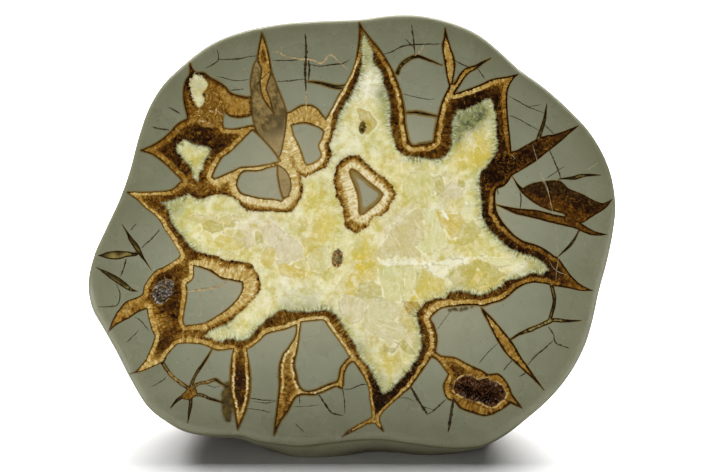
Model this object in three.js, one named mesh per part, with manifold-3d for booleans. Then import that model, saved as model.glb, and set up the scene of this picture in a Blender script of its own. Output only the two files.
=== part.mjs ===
// Septarian nodule: one half of a crack-filled mudstone concretion, sawn through and polished.
// It stands on edge on a flat ground on its underside, so that the polished face leans back a little.
// Millimetres, +Z up, +X to the right of someone who looks at the face, +Y towards the back.
// The origin is on the ground, below the middle of the stone.
import * as THREE from "three";
import { mergeVertices } from "three/addons/utils/BufferGeometryUtils.js";
import Module from "manifold-3d";

const wasm = await Module();
wasm.setup();

// ---------------------------------------------------------------- driving dimensions

const FACE_LEAN = THREE.MathUtils.degToRad(15); // from upright, top edge backwards
const THICKNESS = 110; // from the polished face to the deepest point of the back, square to the face
const FULLNESS = 2.6; // 2 makes the back an ellipsoid, more makes it squarer
const FACE_ABOVE_GROUND = 7.65; // the face's zero line above the ground, along the face
const SETBACK = 74.2; // from the origin forwards to where the face's plane meets the ground

// The face's outline, [across, up the face], anticlockwise from the right. It is the edge of a lobed stone.
const FACE_OUTLINE = [
  [142.9, 131], [141, 146.5], [136.3, 159.5], [128.5, 172.3], [117.5, 184.2], [104.5, 195.8],
  [90, 206.4], [80, 215.6], [68, 225], [54, 231.1], [38, 234.8], [22, 235.1],
  [4, 232.9], [-16, 232.1], [-38, 230.4], [-58, 226.6], [-75, 220], [-90, 209],
  [-102, 197.3], [-109.5, 185], [-115, 169.8], [-120, 151], [-125.5, 135.5], [-133, 119.3],
  [-139.3, 105], [-142.4, 90], [-140.5, 77], [-134, 65], [-127.5, 53.5], [-119.7, 38.3],
  [-110, 22.8], [-99, 14.3], [-89, 9.3], [-75, 7.2], [-60.5, 6.8], [-51, 4],
  [-38, 2.1], [-27, 1.2], [-12, 2.9], [5, 4.6], [17, 4.7], [32, 2.7],
  [47, 0.7], [60, 0.2], [71, 1.6], [82, 7], [95, 16.8], [107, 27.3],
  [118, 40.7], [126, 55.5], [130.3, 69], [133.8, 85], [138.5, 102.5], [141.6, 118],
];
const FACE_MIDDLE = new THREE.Vector2(0, 115);

// The polished face rolls over at its edge: how far in from the outline, and how far back by then.
const RIM_ROLL = [
  { inset: 9, setback: 0 },
  { inset: 4, setback: 0.35 },
  { inset: 1.3, setback: 1.2 },
  { inset: 0, setback: 3 },
];
const RIM_SETBACK = RIM_ROLL.at(-1).setback;

// The back isn't even: low swellings run over it, and its deepest point is off the middle.
const SWELLINGS = [
  { lobes: 2, height: 0.012, turn: 3, twist: 0.004 },
  { lobes: 3, height: 0.014, turn: -1.6, twist: 0 },
  { lobes: 4, height: 0.011, turn: -1.9, twist: 0.028 },
  { lobes: 7, height: 0.007, turn: 2.4, twist: -0.036 },
];
const SWELLING_STARTS = 45; // depth at which they have their full height
const DEEPEST_POINT_OFFSET = new THREE.Vector2(-9, -8);

// Heels: rounded swellings under the face, which the ground flat cuts.
const HEELS = [
  { across: -72, reach: 2.4, spread: 14 },
  { across: -18, reach: 11.5, spread: 20 },
  { across: 38, reach: 6.2, spread: 22 },
];
const HEEL_ONSET = 8; // depth over which a heel swells out
const HEEL_DEEPENING = 0.009; // and how much more it reaches for each millimetre behind the rim

// Small open cavities in the filled cracks: middle on the face, half sizes, turn in the face's plane.
const VUGS = [
  { across: 70, up: 31, half: [14, 6.5, 8], turn: -12 },
  { across: 6.2, up: 174, half: [2.2, 3.6, 4.5], turn: 20 },
  { across: -102, up: 86.5, half: [4.5, 5.5, 5], turn: 30 },
];

const AROUND = 108; // points on each ring
const BACK_RINGS = 24; // rings from the rim to the deepest point
const VUG_FACETS = { around: 24, along: 14 };
const GROUND_CUTTER = { width: 400, depth: 400, height: 80 };

// ---------------------------------------------------------------- the stone's shape

// The outline as evenly spaced points round the face.
function outlinePoints() {
  const corners = FACE_OUTLINE.map(([across, up]) => new THREE.Vector3(across, up, 0));
  const outline = new THREE.CatmullRomCurve3(corners, true, "centripetal");
  outline.arcLengthDivisions = 2000;
  return outline.getSpacedPoints(AROUND).slice(0, AROUND);
}

// How wide the stone still is at a depth behind the rim, 1 at the rim and 0 at the deepest point.
function sectionScale(behindRim) {
  const share = Math.min(behindRim / (THICKNESS - RIM_SETBACK), 1);
  return (1 - share ** FULLNESS) ** (1 / FULLNESS);
}

function swelling(direction, depth) {
  const strength = THREE.MathUtils.smoothstep(depth, 0, SWELLING_STARTS);
  const height = SWELLINGS.reduce(
    (sum, s) => sum + s.height * Math.cos(s.lobes * direction + s.turn + s.twist * depth),
    0,
  );
  return 1 + strength * height;
}

// How far the heels push a point of the underside down.
function heelDrop(across, direction, depth) {
  const underneath = Math.max(0, -Math.sin(direction)) ** 2;
  const onset = (1 - Math.exp(-depth / HEEL_ONSET)) * (1 + HEEL_DEEPENING * depth);
  const reach = HEELS.reduce(
    (sum, h) => sum + h.reach * Math.exp(-0.5 * ((across - h.across) / h.spread) ** 2),
    0,
  );
  return reach * underneath * onset;
}

// A point of the back, in the face's frame: across, up the face, out of the face.
function backPoint(edge, behindRim) {
  const scale = sectionScale(behindRim);
  const spoke = new THREE.Vector2(edge.x, edge.y).sub(FACE_MIDDLE);
  const direction = spoke.angle();
  const drift = DEEPEST_POINT_OFFSET.clone().multiplyScalar((behindRim / (THICKNESS - RIM_SETBACK)) ** 2);
  const place = spoke.multiplyScalar(scale * swelling(direction, behindRim)).add(FACE_MIDDLE).add(drift);
  place.y -= scale * heelDrop(place.x, direction, behindRim);
  return new THREE.Vector3(place.x, place.y, -RIM_SETBACK - behindRim);
}

function rimRing(edges, { inset, setback }) {
  return edges.map((edge) => {
    const spoke = new THREE.Vector2(edge.x, edge.y).sub(FACE_MIDDLE);
    spoke.setLength(spoke.length() - inset).add(FACE_MIDDLE);
    return new THREE.Vector3(spoke.x, spoke.y, -setback);
  });
}

// All rings from the flat of the face, over the rim and down the back.
function stoneRings() {
  const edges = outlinePoints();
  const rings = RIM_ROLL.map((roll) => rimRing(edges, roll));
  for (let k = 1; k < BACK_RINGS; k++) {
    const turn = (k / BACK_RINGS) * (Math.PI / 2);
    const behindRim = (THICKNESS - RIM_SETBACK) * Math.sin(turn) ** (2 / FULLNESS);
    rings.push(edges.map((edge) => backPoint(edge, behindRim)));
  }
  return rings;
}

// A closed mesh over rings of points, from a point at the middle of the first to one past the last.
function closedSkin(first, rings, last) {
  const points = [first, ...rings.flat(), last];
  const faces = [];
  const at = (ring, k) => 1 + ring * AROUND + (k % AROUND);
  for (let k = 0; k < AROUND; k++) {
    faces.push(0, at(0, k), at(0, k + 1));
    faces.push(points.length - 1, at(rings.length - 1, k + 1), at(rings.length - 1, k));
    for (let ring = 0; ring + 1 < rings.length; ring++) {
      faces.push(at(ring, k), at(ring + 1, k), at(ring + 1, k + 1));
      faces.push(at(ring, k), at(ring + 1, k + 1), at(ring, k + 1));
    }
  }
  return new THREE.BufferGeometry().setFromPoints(points).setIndex(faces);
}

function stoneGeometry() {
  const faceMiddle = new THREE.Vector3(FACE_MIDDLE.x, FACE_MIDDLE.y, 0);
  const deepest = FACE_MIDDLE.clone().add(DEEPEST_POINT_OFFSET);
  return closedSkin(faceMiddle, stoneRings(), new THREE.Vector3(deepest.x, deepest.y, -THICKNESS));
}

function vugGeometry({ across, up, half, turn }) {
  return new THREE.SphereGeometry(1, VUG_FACETS.around, VUG_FACETS.along)
    .scale(...half)
    .rotateZ(THREE.MathUtils.degToRad(turn))
    .translate(across, up, 0);
}

// Turns a geometry from the face's frame (across, up, out of the face) to the stone as it stands.
function standing(geometry) {
  const across = new THREE.Vector3(1, 0, 0);
  const up = new THREE.Vector3(0, Math.sin(FACE_LEAN), Math.cos(FACE_LEAN));
  const out = new THREE.Vector3(0, -Math.cos(FACE_LEAN), Math.sin(FACE_LEAN));
  const foot = up.clone().multiplyScalar(FACE_ABOVE_GROUND).add(new THREE.Vector3(0, -SETBACK, 0));
  return geometry.clone().applyMatrix4(new THREE.Matrix4().makeBasis(across, up, out).setPosition(foot));
}

// ---------------------------------------------------------------- cutting

// A closed geometry as a solid that can be cut.
function solid(geometry) {
  const bare = geometry.clone();
  bare.deleteAttribute("normal");
  bare.deleteAttribute("uv");
  const merged = mergeVertices(bare, 1e-4);
  const mesh = { numProp: 3, vertProperties: merged.attributes.position.array };
  return new wasm.Manifold(new wasm.Mesh({ ...mesh, triVerts: new Uint32Array(merged.index.array) }));
}

function geometryOf(cut) {
  const { numProp, vertProperties, triVerts } = cut.getMesh();
  const points = [];
  for (let k = 0; k < vertProperties.length; k += numProp) {
    points.push(new THREE.Vector3().fromArray(vertProperties, k));
  }
  const geometry = new THREE.BufferGeometry().setFromPoints(points).setIndex([...triVerts]);
  geometry.computeVertexNormals();
  return geometry;
}

function noduleGeometry() {
  const { width, depth, height } = GROUND_CUTTER;
  const belowGround = new THREE.BoxGeometry(width, depth, height).translate(0, 0, -height / 2);
  const stone = solid(standing(stoneGeometry())).subtract(solid(belowGround));
  return geometryOf(VUGS.reduce((rest, vug) => rest.subtract(solid(standing(vugGeometry(vug)))), stone));
}

// ---------------------------------------------------------------- the part

const mudstone = new THREE.MeshStandardMaterial({ color: 0x7d7f71, roughness: 0.35, metalness: 0 });
mudstone.name = "mudstone";

const nodule = new THREE.Mesh(noduleGeometry(), mudstone);
nodule.name = "nodule";

const part = new THREE.Group();
part.add(nodule);

export default part;
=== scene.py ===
"""Half of a septarian nodule: grey mudstone whose shrinkage cracks are filled with aragonite and calcite.

The cut face is polished and leans back a little. Lengths are in millimetres up to the meshes, which are in
metres. Places on the face are (across, up), measured in the face's own plane. The face is cut into triangles
along the outlines of the cracks, and the body and the fillings are both made from those triangles.
"""
import math
from collections import namedtuple
from functools import cache

import bmesh
import bpy
import numpy as np
from mathutils import Matrix, Vector, kdtree, noise
from mathutils.geometry import delaunay_2d_cdt


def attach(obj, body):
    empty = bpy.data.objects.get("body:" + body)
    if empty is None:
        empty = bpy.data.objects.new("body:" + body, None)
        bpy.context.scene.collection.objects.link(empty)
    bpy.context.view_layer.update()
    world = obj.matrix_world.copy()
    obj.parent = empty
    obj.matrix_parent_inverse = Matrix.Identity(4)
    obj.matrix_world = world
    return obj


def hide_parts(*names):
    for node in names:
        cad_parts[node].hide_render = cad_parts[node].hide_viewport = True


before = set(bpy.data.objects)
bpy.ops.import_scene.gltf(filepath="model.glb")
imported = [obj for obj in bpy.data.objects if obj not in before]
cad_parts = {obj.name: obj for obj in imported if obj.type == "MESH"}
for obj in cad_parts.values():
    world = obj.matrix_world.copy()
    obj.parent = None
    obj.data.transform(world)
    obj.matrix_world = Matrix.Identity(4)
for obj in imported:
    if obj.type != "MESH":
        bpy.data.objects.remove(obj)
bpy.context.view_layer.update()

bl_info = {
    "name": "Septarian Nodule",
    "version": (1, 0, 0),
    "blender": (4, 5, 0),
    "location": "3D View > Sidebar > Nodule",
    "description": "Builds a polished half of a septarian nodule",
    "category": "Add Mesh",
}

# ------------------------------------------------------------------ the stone's shape, as in the solid model

MM = 0.001
FACE_LEAN = math.radians(15)  # from upright, top edge backwards
THICKNESS = 110.0  # from the face to the deepest point of the back
FULLNESS = 2.6  # 2 makes the back an ellipsoid, more makes it squarer
FACE_ABOVE_GROUND = 7.65  # the face's zero line above the ground, along the face
SETBACK = 74.2  # from the origin forwards to where the face's plane meets the ground
FACE_MIDDLE = np.array((0.0, 115.0))
FACE_OUTLINE = [
    (142.9, 131), (141, 146.5), (136.3, 159.5), (128.5, 172.3), (117.5, 184.2), (104.5, 195.8),
    (90, 206.4), (80, 215.6), (68, 225), (54, 231.1), (38, 234.8), (22, 235.1), (4, 232.9), (-16, 232.1),
    (-38, 230.4), (-58, 226.6), (-75, 220), (-90, 209), (-102, 197.3), (-109.5, 185), (-115, 169.8),
    (-120, 151), (-125.5, 135.5), (-133, 119.3), (-139.3, 105), (-142.4, 90), (-140.5, 77), (-134, 65),
    (-127.5, 53.5), (-119.7, 38.3), (-110, 22.8), (-99, 14.3), (-89, 9.3), (-75, 7.2), (-60.5, 6.8),
    (-51, 4), (-38, 2.1), (-27, 1.2), (-12, 2.9), (5, 4.6), (17, 4.7), (32, 2.7), (47, 0.7), (60, 0.2),
    (71, 1.6), (82, 7), (95, 16.8), (107, 27.3), (118, 40.7), (126, 55.5), (130.3, 69), (133.8, 85),
    (138.5, 102.5), (141.6, 118),
]
RIM_ROLL = [(9, 0), (4, 0.35), (1.3, 1.2), (0, 3)]  # (in from the outline, back from the face)
RIM_SETBACK = RIM_ROLL[-1][1]
BACK_DEPTH = THICKNESS - RIM_SETBACK
# Low swellings that run over the back: lobes, height, turn and twist.
SWELLINGS = [(2, 0.012, 3, 0.004), (3, 0.014, -1.6, 0), (4, 0.011, -1.9, 0.028), (7, 0.007, 2.4, -0.036)]
SWELLING_STARTS = 45.0  # depth at which they have their full height
DEEPEST_POINT_OFFSET = np.array((-9.0, -8.0))
HEELS = [(-72, 2.4, 14), (-18, 11.5, 20), (38, 6.2, 22)]  # (across, reach, spread)
HEEL_ONSET = 8.0  # depth over which a heel swells out
HEEL_DEEPENING = 0.009  # and how much more it reaches for each millimetre behind the rim

# ------------------------------------------------------------------ the cracks on the face

# Each outline goes once round its patch. Its role says what the patch is: a filled crack or a narrow seam, an
# island of mudstone inside a filling, calcite, lining inside the calcite, the grey lens, a band that the grey
# leaves out, a tangle of small cracks, or an open hollow.
STAR = [
    (4.2, 231), (5.5, 228.5), (10.5, 221.8), (13, 219), (17.5, 213), (23, 203), (26.5, 193.5), (28.5, 184),
    (29.2, 175), (31.5, 166), (33, 164.6), (37, 165), (43, 166), (44.3, 167), (45, 171), (47, 181),
    (50, 191), (52.7, 196.5), (52, 199.5), (50, 211), (49, 218.5), (49.8, 222), (50.5, 228), (53, 219),
    (55.5, 211.5), (56, 208), (54.5, 197.8), (55.5, 198), (58.5, 203), (60.5, 205.2), (63, 206.7),
    (66, 207.5), (72, 210.3), (76, 212), (71, 208.7), (66.5, 205.3), (64, 204), (61.8, 202), (55.6, 192.3),
    (67, 196.2), (76, 200.2), (84, 201.6), (90, 203), (86.8, 199.5), (84.3, 193.5), (86.3, 161),
    (89.5, 162), (101, 168.3), (106, 170), (109, 170.3), (123, 175.3), (117, 170.3), (111, 165),
    (105, 160.5), (99.5, 156), (88, 149), (86.5, 148), (83.5, 143.5), (81, 142), (79, 141.3), (78, 140.2),
    (78, 130.5), (79, 127.5), (83, 121.3), (91, 113.8), (101, 110.3), (107, 106.8), (109.5, 104.8),
    (111, 104.2), (118.5, 94.3), (124, 89.2), (130.5, 86), (124, 86), (120, 86.8), (113, 88), (98, 90.4),
    (92, 88.7), (86.5, 84.8), (84, 82.5), (81, 80.8), (75, 79), (72, 77.8), (66, 78.3), (50, 77),
    (48, 76.3), (43.5, 72.5), (42.5, 71), (45, 66), (46.2, 60), (45.3, 53.5), (43.8, 51.2), (33.5, 36.5),
    (31.5, 33.8), (27, 30), (16.3, 20), (15, 17), (17.3, 10), (14, 13.3), (12.8, 14.5), (9, 14.3),
    (3, 11.3), (-5, 7.2), (-2, 10), (7, 15.3), (10, 16.8), (11.2, 18), (10.2, 27), (9.2, 34.5), (4, 44),
    (-1, 50.5), (-4, 55.5), (-13, 68), (-14.5, 70), (-16, 70.4), (-23, 69.7), (-26.5, 69.3), (-29.5, 67.9),
    (-35, 65.6), (-46, 62.6), (-50, 59), (-53, 56.8), (-56, 55), (-64, 54.8), (-71, 54), (-74, 54.5),
    (-80, 57), (-91, 57.7), (-94, 57.2), (-100.5, 50), (-101.5, 48.5), (-105, 46), (-108, 44.8),
    (-112, 43), (-120, 41), (-117.5, 42), (-115.3, 43.5), (-113.5, 45.8), (-111.5, 48), (-106.5, 59.5),
    (-106, 61.5), (-107.3, 64), (-109.8, 72), (-110.5, 76.5), (-115, 74.5), (-120, 71.3), (-127, 67.5),
    (-131.7, 63.2), (-127.5, 73), (-125, 76.5), (-122, 80), (-113, 84.2), (-112, 88.3), (-106, 96.6),
    (-101, 99), (-93.5, 103.8), (-92.3, 105.5), (-97.5, 114.3), (-101, 119.3), (-103, 123.3),
    (-106, 126.8), (-111, 130.8), (-115, 134.8), (-121.3, 139.2), (-107, 139.2), (-96.5, 140.8),
    (-93, 144), (-91.3, 145), (-92, 146), (-106, 158.8), (-114, 161.8), (-110, 163.4), (-103, 167.3),
    (-97.5, 172), (-94, 176), (-88.5, 179), (-90.7, 190), (-89.8, 199), (-87.5, 203), (-87.4, 209),
    (-86, 206), (-84, 203.8), (-79.5, 203.6), (-77, 201.6), (-72, 198.8), (-68, 196), (-66, 193.5),
    (-63, 192), (-54, 191), (-50, 195), (-44, 195), (-35.2, 182), (-33, 182.6), (-27, 186), (-24, 186.3),
    (-20, 185.3), (-13.8, 178.5), (-10, 185), (-7.5, 190), (1.2, 206), (4.2, 224),
]
FOOT_CRACK_LEFT = [
    (-63, 57), (-64.5, 50), (-65.3, 40), (-65.5, 31.5), (-63.8, 25), (-61.5, 10.8), (-57, 22), (-55.2, 30),
    (-54.8, 40), (-57, 57),
]
FOOT_CRACK_MIDDLE = [
    (-27.2, 70.8), (-29.3, 54), (-30.8, 46), (-30, 42), (-28.3, 35), (-25.5, 32), (-20, 32.3), (-14, 35),
    (-8.5, 36.8), (-7.3, 38), (-6, 44.5), (-4, 47), (-2, 49.2), (2.8, 51), (3.5, 48), (1, 47.8),
    (-1.5, 46.3), (-4, 41), (-4.5, 35), (-5.5, 33), (-8, 34.5), (-20, 29.8), (-27, 29.8), (-30.5, 28),
    (-34, 21.5), (-38, 16), (-41.8, 8), (-41.5, 12), (-39, 35), (-39, 45), (-37, 51.5), (-34.5, 54.5),
    (-30, 62.5), (-29.6, 70.3),
]
RIGHT_POCKET = [
    (41.5, 55.5), (45.3, 53), (48, 51), (56, 49.7), (64, 45.7), (71, 42.7), (73.5, 41), (79, 41.2),
    (81.5, 39.5), (85.3, 34), (86.3, 31), (92.3, 22.5), (86, 25.3), (81, 21.8), (75, 19), (72, 18.4),
    (65, 20.2), (58.5, 22.8), (55.5, 26.3), (53, 27), (51, 29), (49.7, 35), (52.5, 41), (45.5, 49.3),
    (41, 50.5),
]
OCHRE_SPIKE = [
    (70, 77), (76, 71), (82, 64), (87, 58), (91, 51), (97, 42.5), (104, 32.3), (98, 38.5), (84, 51.5),
    (78, 60.5), (73.5, 69.5), (71, 74),
]
DARK_LENS_UPPER = [
    (87, 147.5), (90, 143.5), (92.5, 141.3), (96, 143.3), (100, 144.5), (112, 145.3), (115, 143.5),
    (117, 141.3), (124, 138.5), (132, 134.3), (136, 133.3), (141, 135.5), (137.5, 131), (130, 126),
    (124, 122.5), (117, 122), (115, 127.5), (102, 131.5), (91.5, 139.5),
]
DARK_LENS_LOWER = [
    (78, 132.5), (90, 130.3), (100, 129.5), (110, 127), (119, 125), (131, 118.3), (138, 116.3),
    (133, 115.8), (128, 116.5), (121, 119.5), (113, 121.5), (94, 126.3), (89, 127.5),
]
LEFT_LENS_TOP = [
    (-137, 105), (-131, 107), (-126, 107.5), (-114.5, 106.3), (-116, 105), (-121, 104.3), (-126, 103),
    (-131, 103.3),
]
LEFT_LENS_DOWN = [
    (-124, 122), (-118, 114), (-115, 110.5), (-112, 104), (-108, 97), (-111, 101), (-114.5, 105),
    (-120, 113), (-121.5, 117),
]
LEFT_LENS_LOW = [
    (-138, 98.8), (-127, 94), (-122, 90.5), (-119, 87.5), (-115.5, 85.6), (-119, 85.8), (-128, 91),
]
CRACK_STAR_HEART = [
    (-92.5, 29), (-87, 34.4), (-84.3, 33.7), (-83.5, 31), (-85, 28.8), (-87.5, 27.3), (-90.5, 27.5),
]
CENTRE_ISLAND = [
    (0, 152.3), (-1.5, 150.5), (-0.8, 148), (2.8, 138.5), (4, 127.3), (6.5, 127), (9, 129), (15, 134),
    (17.5, 138), (16, 140), (9, 145.5), (2, 151.5),
]
ARCH_ISLAND = [
    (-32.8, 175.5), (-28, 176.5), (-24, 176.5), (-16.5, 173.5), (-14.7, 172), (-15.8, 168), (-17.5, 164),
    (-16, 159.5), (-17, 157), (-21.5, 154.3), (-24, 153.7), (-25.3, 155), (-28, 162.5), (-31.5, 170),
]
TRIANGLE_ISLAND = [
    (-53.5, 173), (-50, 170), (-42, 161.5), (-38, 156), (-41, 155), (-50, 153.2), (-60, 152.3),
    (-64, 150.5), (-74, 146.3), (-75.3, 147.5), (-74, 151), (-69.5, 158.5), (-67, 160),
]
ROUNDED_ISLAND = [
    (-60, 149), (-58, 150.5), (-50, 151), (-42, 153.5), (-40, 154), (-34.5, 149.5), (-33, 146),
    (-33.5, 138.5), (-38, 134), (-40, 134.8), (-50, 136), (-59, 138.5), (-61, 140.5), (-62, 143),
]
SMALL_ISLAND = [
    (-69.5, 184), (-66, 180.5), (-62, 179.5), (-57, 180), (-53.5, 181), (-53, 178), (-52, 175.3),
    (-55, 175), (-60, 173.8), (-65, 173.3), (-69, 173.5), (-69.7, 176), (-69.3, 180),
]
SHIELD_ISLAND = [
    (-85.2, 99.8), (-77, 97), (-69.5, 92.5), (-66, 92), (-59, 90.5), (-58.8, 87.5), (-60, 84), (-65, 77.8),
    (-78, 69), (-81, 68), (-90, 67), (-91, 69), (-88.8, 86), (-89.5, 89.5), (-86, 92.5),
]
CALCITE = [
    (5.2, 211), (5, 216), (5.2, 222), (6.5, 225), (9.8, 220), (12, 215), (12.3, 210), (16, 205), (19, 195),
    (21.3, 185), (21.5, 175), (24, 165), (27, 160.5), (33, 158.8), (46, 157.5), (50, 159), (53, 163),
    (54, 175), (55, 180), (57, 184), (61, 184.5), (70, 188.5), (75, 190.5), (77, 187), (79, 168),
    (79, 163), (72.5, 152), (70.5, 150), (69.5, 144), (70.3, 137), (71, 128), (72.5, 123), (75, 119),
    (81, 113), (88, 108), (100, 104), (103.5, 102), (107, 97.3), (106, 96), (102, 94.8), (98, 95),
    (90, 92.5), (86, 91.5), (80, 87.5), (73, 84.5), (70, 83.3), (60, 85.3), (56, 85.5), (53, 84.5),
    (51, 82), (45, 81), (39, 78), (35.8, 73), (37, 66.5), (38.3, 57), (37.8, 53.5), (34, 46.5), (23, 33.8),
    (18, 30.2), (16.5, 30), (15, 33.5), (8.7, 45), (4.5, 50), (0.5, 58), (-4.5, 66), (-7, 70.5),
    (-12.5, 74.5), (-23, 74.3), (-33, 74.5), (-37, 75.5), (-46, 69.5), (-56, 60), (-60, 58.7), (-64, 59.8),
    (-68, 58.8), (-72, 58.3), (-76, 60), (-79.5, 61.5), (-73, 65.8), (-69, 67), (-62, 73), (-55, 79),
    (-50, 85), (-48.5, 89), (-54, 99.5), (-58, 101.5), (-67, 102.5), (-75, 105), (-84, 107.5), (-87, 109),
    (-91, 114.5), (-96, 120), (-98, 123.5), (-100.5, 131.5), (-103, 133.5), (-97, 135.5), (-90, 137.8),
    (-88, 139.2), (-84, 136.3), (-81, 135.8), (-78, 137), (-70, 138), (-61.5, 134.5), (-60, 132),
    (-57, 130), (-53, 129), (-43, 128.8), (-32.5, 129), (-28, 134), (-26.3, 141), (-27.5, 148),
    (-22, 148.8), (-16, 151.5), (-13, 153.5), (-10.5, 160), (-12, 163.5), (-10, 170), (-8, 178),
    (-4, 186.5), (1, 195), (4, 203),
]
CENTRE_RING = [
    (-6.5, 155.5), (-5, 156.5), (-1, 158.8), (3, 159), (11, 152), (21, 144), (23, 141), (24.3, 138),
    (21, 131.5), (19, 128.5), (11, 124.5), (9, 121.5), (6, 118.5), (2, 117.3), (-1, 118.5), (-3.5, 120.5),
    (-4.5, 128.5), (-5.5, 132.5), (-8, 136), (-8.7, 140), (-9.8, 145.5), (-8, 153),
]
CALCITE_LEFT = [
    (-95, 163), (-93.5, 166), (-90, 168.5), (-85, 165.5), (-77, 164), (-75.5, 162.5), (-82, 148),
    (-82.5, 145), (-84.5, 145), (-86.5, 151), (-91, 157), (-94, 160),
]
CALCITE_TOP_LEFT = [
    (-85, 203), (-82, 202.5), (-77.5, 198), (-76.5, 196), (-79, 194), (-80.5, 192), (-79, 190), (-78, 188),
    (-80, 186.5), (-82, 184), (-84, 186.5), (-87.5, 197), (-87, 200),
]
GREY_LENS = [
    (-48.5, 225.5), (-47, 222), (-44.8, 214), (-43.2, 205), (-37, 188), (-35.2, 182), (-38, 160.5),
    (-39.5, 157.5), (-42, 161.5), (-50, 170.5), (-52.2, 175), (-53.5, 181), (-54, 191), (-54.5, 199.5),
    (-52.8, 207.5), (-51, 211.5), (-50, 217),
]
GREY_LENS_END = [
    (-40, 154), (-39.5, 146), (-38.5, 141), (-37, 136), (-34, 137), (-32.7, 142), (-33, 146),
    (-34.5, 149.5), (-37, 152.3),
]
LENS_BAND = [
    (-48.8, 226), (-46.3, 219.5), (-43.3, 206), (-44.6, 200), (-46, 195.5), (-44, 190), (-41.6, 181),
    (-43.6, 184), (-47, 188.5), (-48.8, 193), (-49.3, 200), (-48.8, 206), (-50.6, 210),
]
TANGLE = [
    (-79, 190), (-76.5, 195.5), (-72, 193), (-69.5, 189), (-68.5, 184), (-69.5, 178), (-72, 175),
    (-76, 174.5), (-81, 175), (-84, 179), (-82.5, 184), (-80, 186.5),
]
POCKET_HOLLOW = [
    (56, 36), (61, 39.8), (65, 39.5), (68, 37.5), (72, 38.5), (76, 37), (80, 35), (83.5, 30.5), (82, 28),
    (77, 24), (73, 24.3), (70, 26), (66, 27), (58, 30), (55.5, 32.5),
]
SPIKE_HOLLOW = [(4.6, 171.5), (4.3, 174), (5, 177), (6.8, 177.2), (7.8, 174.5), (7, 171.8), (5.8, 170.6)]
LEFT_HOLLOW = [
    (-107.5, 83), (-106.5, 87.5), (-103, 91), (-99, 92), (-96, 90.5), (-96.5, 86.5), (-99, 82), (-102, 79),
    (-105.5, 79.5),
]
CENTRE_HOLLOW = [
    (-9.8, 100), (-10.4, 103), (-9.4, 106.5), (-7.5, 108.6), (-5.6, 107), (-4.9, 103.5), (-6, 100),
    (-8, 98.7),
]
HOLLOWS = {"pocket": POCKET_HOLLOW, "spike": SPIKE_HOLLOW, "left": LEFT_HOLLOW, "centre": CENTRE_HOLLOW}

Outline = namedtuple("Outline", "role points")
OUTLINES = [
    *(Outline("crack", points) for points in (
        STAR, FOOT_CRACK_LEFT, FOOT_CRACK_MIDDLE, RIGHT_POCKET, OCHRE_SPIKE, DARK_LENS_UPPER, DARK_LENS_LOWER,
        CRACK_STAR_HEART)),
    *(Outline("seam", points) for points in (LEFT_LENS_TOP, LEFT_LENS_DOWN, LEFT_LENS_LOW)),
    *(Outline("island", points) for points in (
        CENTRE_ISLAND, ARCH_ISLAND, TRIANGLE_ISLAND, ROUNDED_ISLAND, SMALL_ISLAND, SHIELD_ISLAND)),
    *(Outline("calcite", points) for points in (CALCITE, CALCITE_LEFT, CALCITE_TOP_LEFT)),
    Outline("lining", CENTRE_RING),
    *(Outline("grey", points) for points in (GREY_LENS, GREY_LENS_END)),
    Outline("band", LENS_BAND),
    Outline("tangle", TANGLE),
    *(Outline("hollow", points) for points in HOLLOWS.values()),
]

# Narrow cracks that are filled too: width, which ends run out to a point, and the line that each follows.
Seam = namedtuple("Seam", "width free points")
SEAMS = [Seam(*row[:2], row[2:]) for row in (
    (1.8, "", (107.6, 90.2), (109, 85), (109.5, 80), (106.8, 68.8)),
    (1.9, "end", (105.8, 69), (108, 70), (115, 69.8), (120, 69.7), (124, 70)),
    (2.2, "end", (108.5, 70.2), (98, 65.5), (90, 62.3), (84.5, 58.5)),
    (1.5, "both", (123.5, 120), (120.5, 114), (117.5, 110), (110.5, 103.5)),
    (2.2, "both", (112, 146.4), (120, 147), (126, 148.3), (134.5, 148.5)),
    (2, "end", (100.4, 166.5), (104, 178), (105.5, 187)),
    (1.9, "", (-101, 50), (-102.3, 47.5), (-99.5, 43), (-96.5, 39.5), (-87, 32.5)),
    (1.7, "end", (-86.5, 33.5), (-82, 36), (-78, 36.6), (-73.5, 38), (-71, 36.5), (-66.5, 34)),
    (1.6, "end", (-87.5, 32), (-84.5, 40), (-78.5, 49), (-75.5, 54)),
    (1.8, "end", (-88, 30.5), (-94, 27), (-97.8, 22.5)),
    (1.8, "end", (-86.5, 30.5), (-87, 24), (-88.5, 14.5)),
    (1.7, "end", (-86.5, 30), (-81, 29.7), (-77, 28), (-69, 25.5)),
    (1.5, "end", (24.5, 203), (27, 208), (34.5, 212.5), (43, 210), (49, 207.7)),
    (1.3, "both", (29.2, 182), (34, 182.3), (47.5, 180)),
    (1.7, "end", (-2.5, 196.3), (-8, 196), (-17, 198.2), (-23.5, 198.9)),
)]

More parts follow.
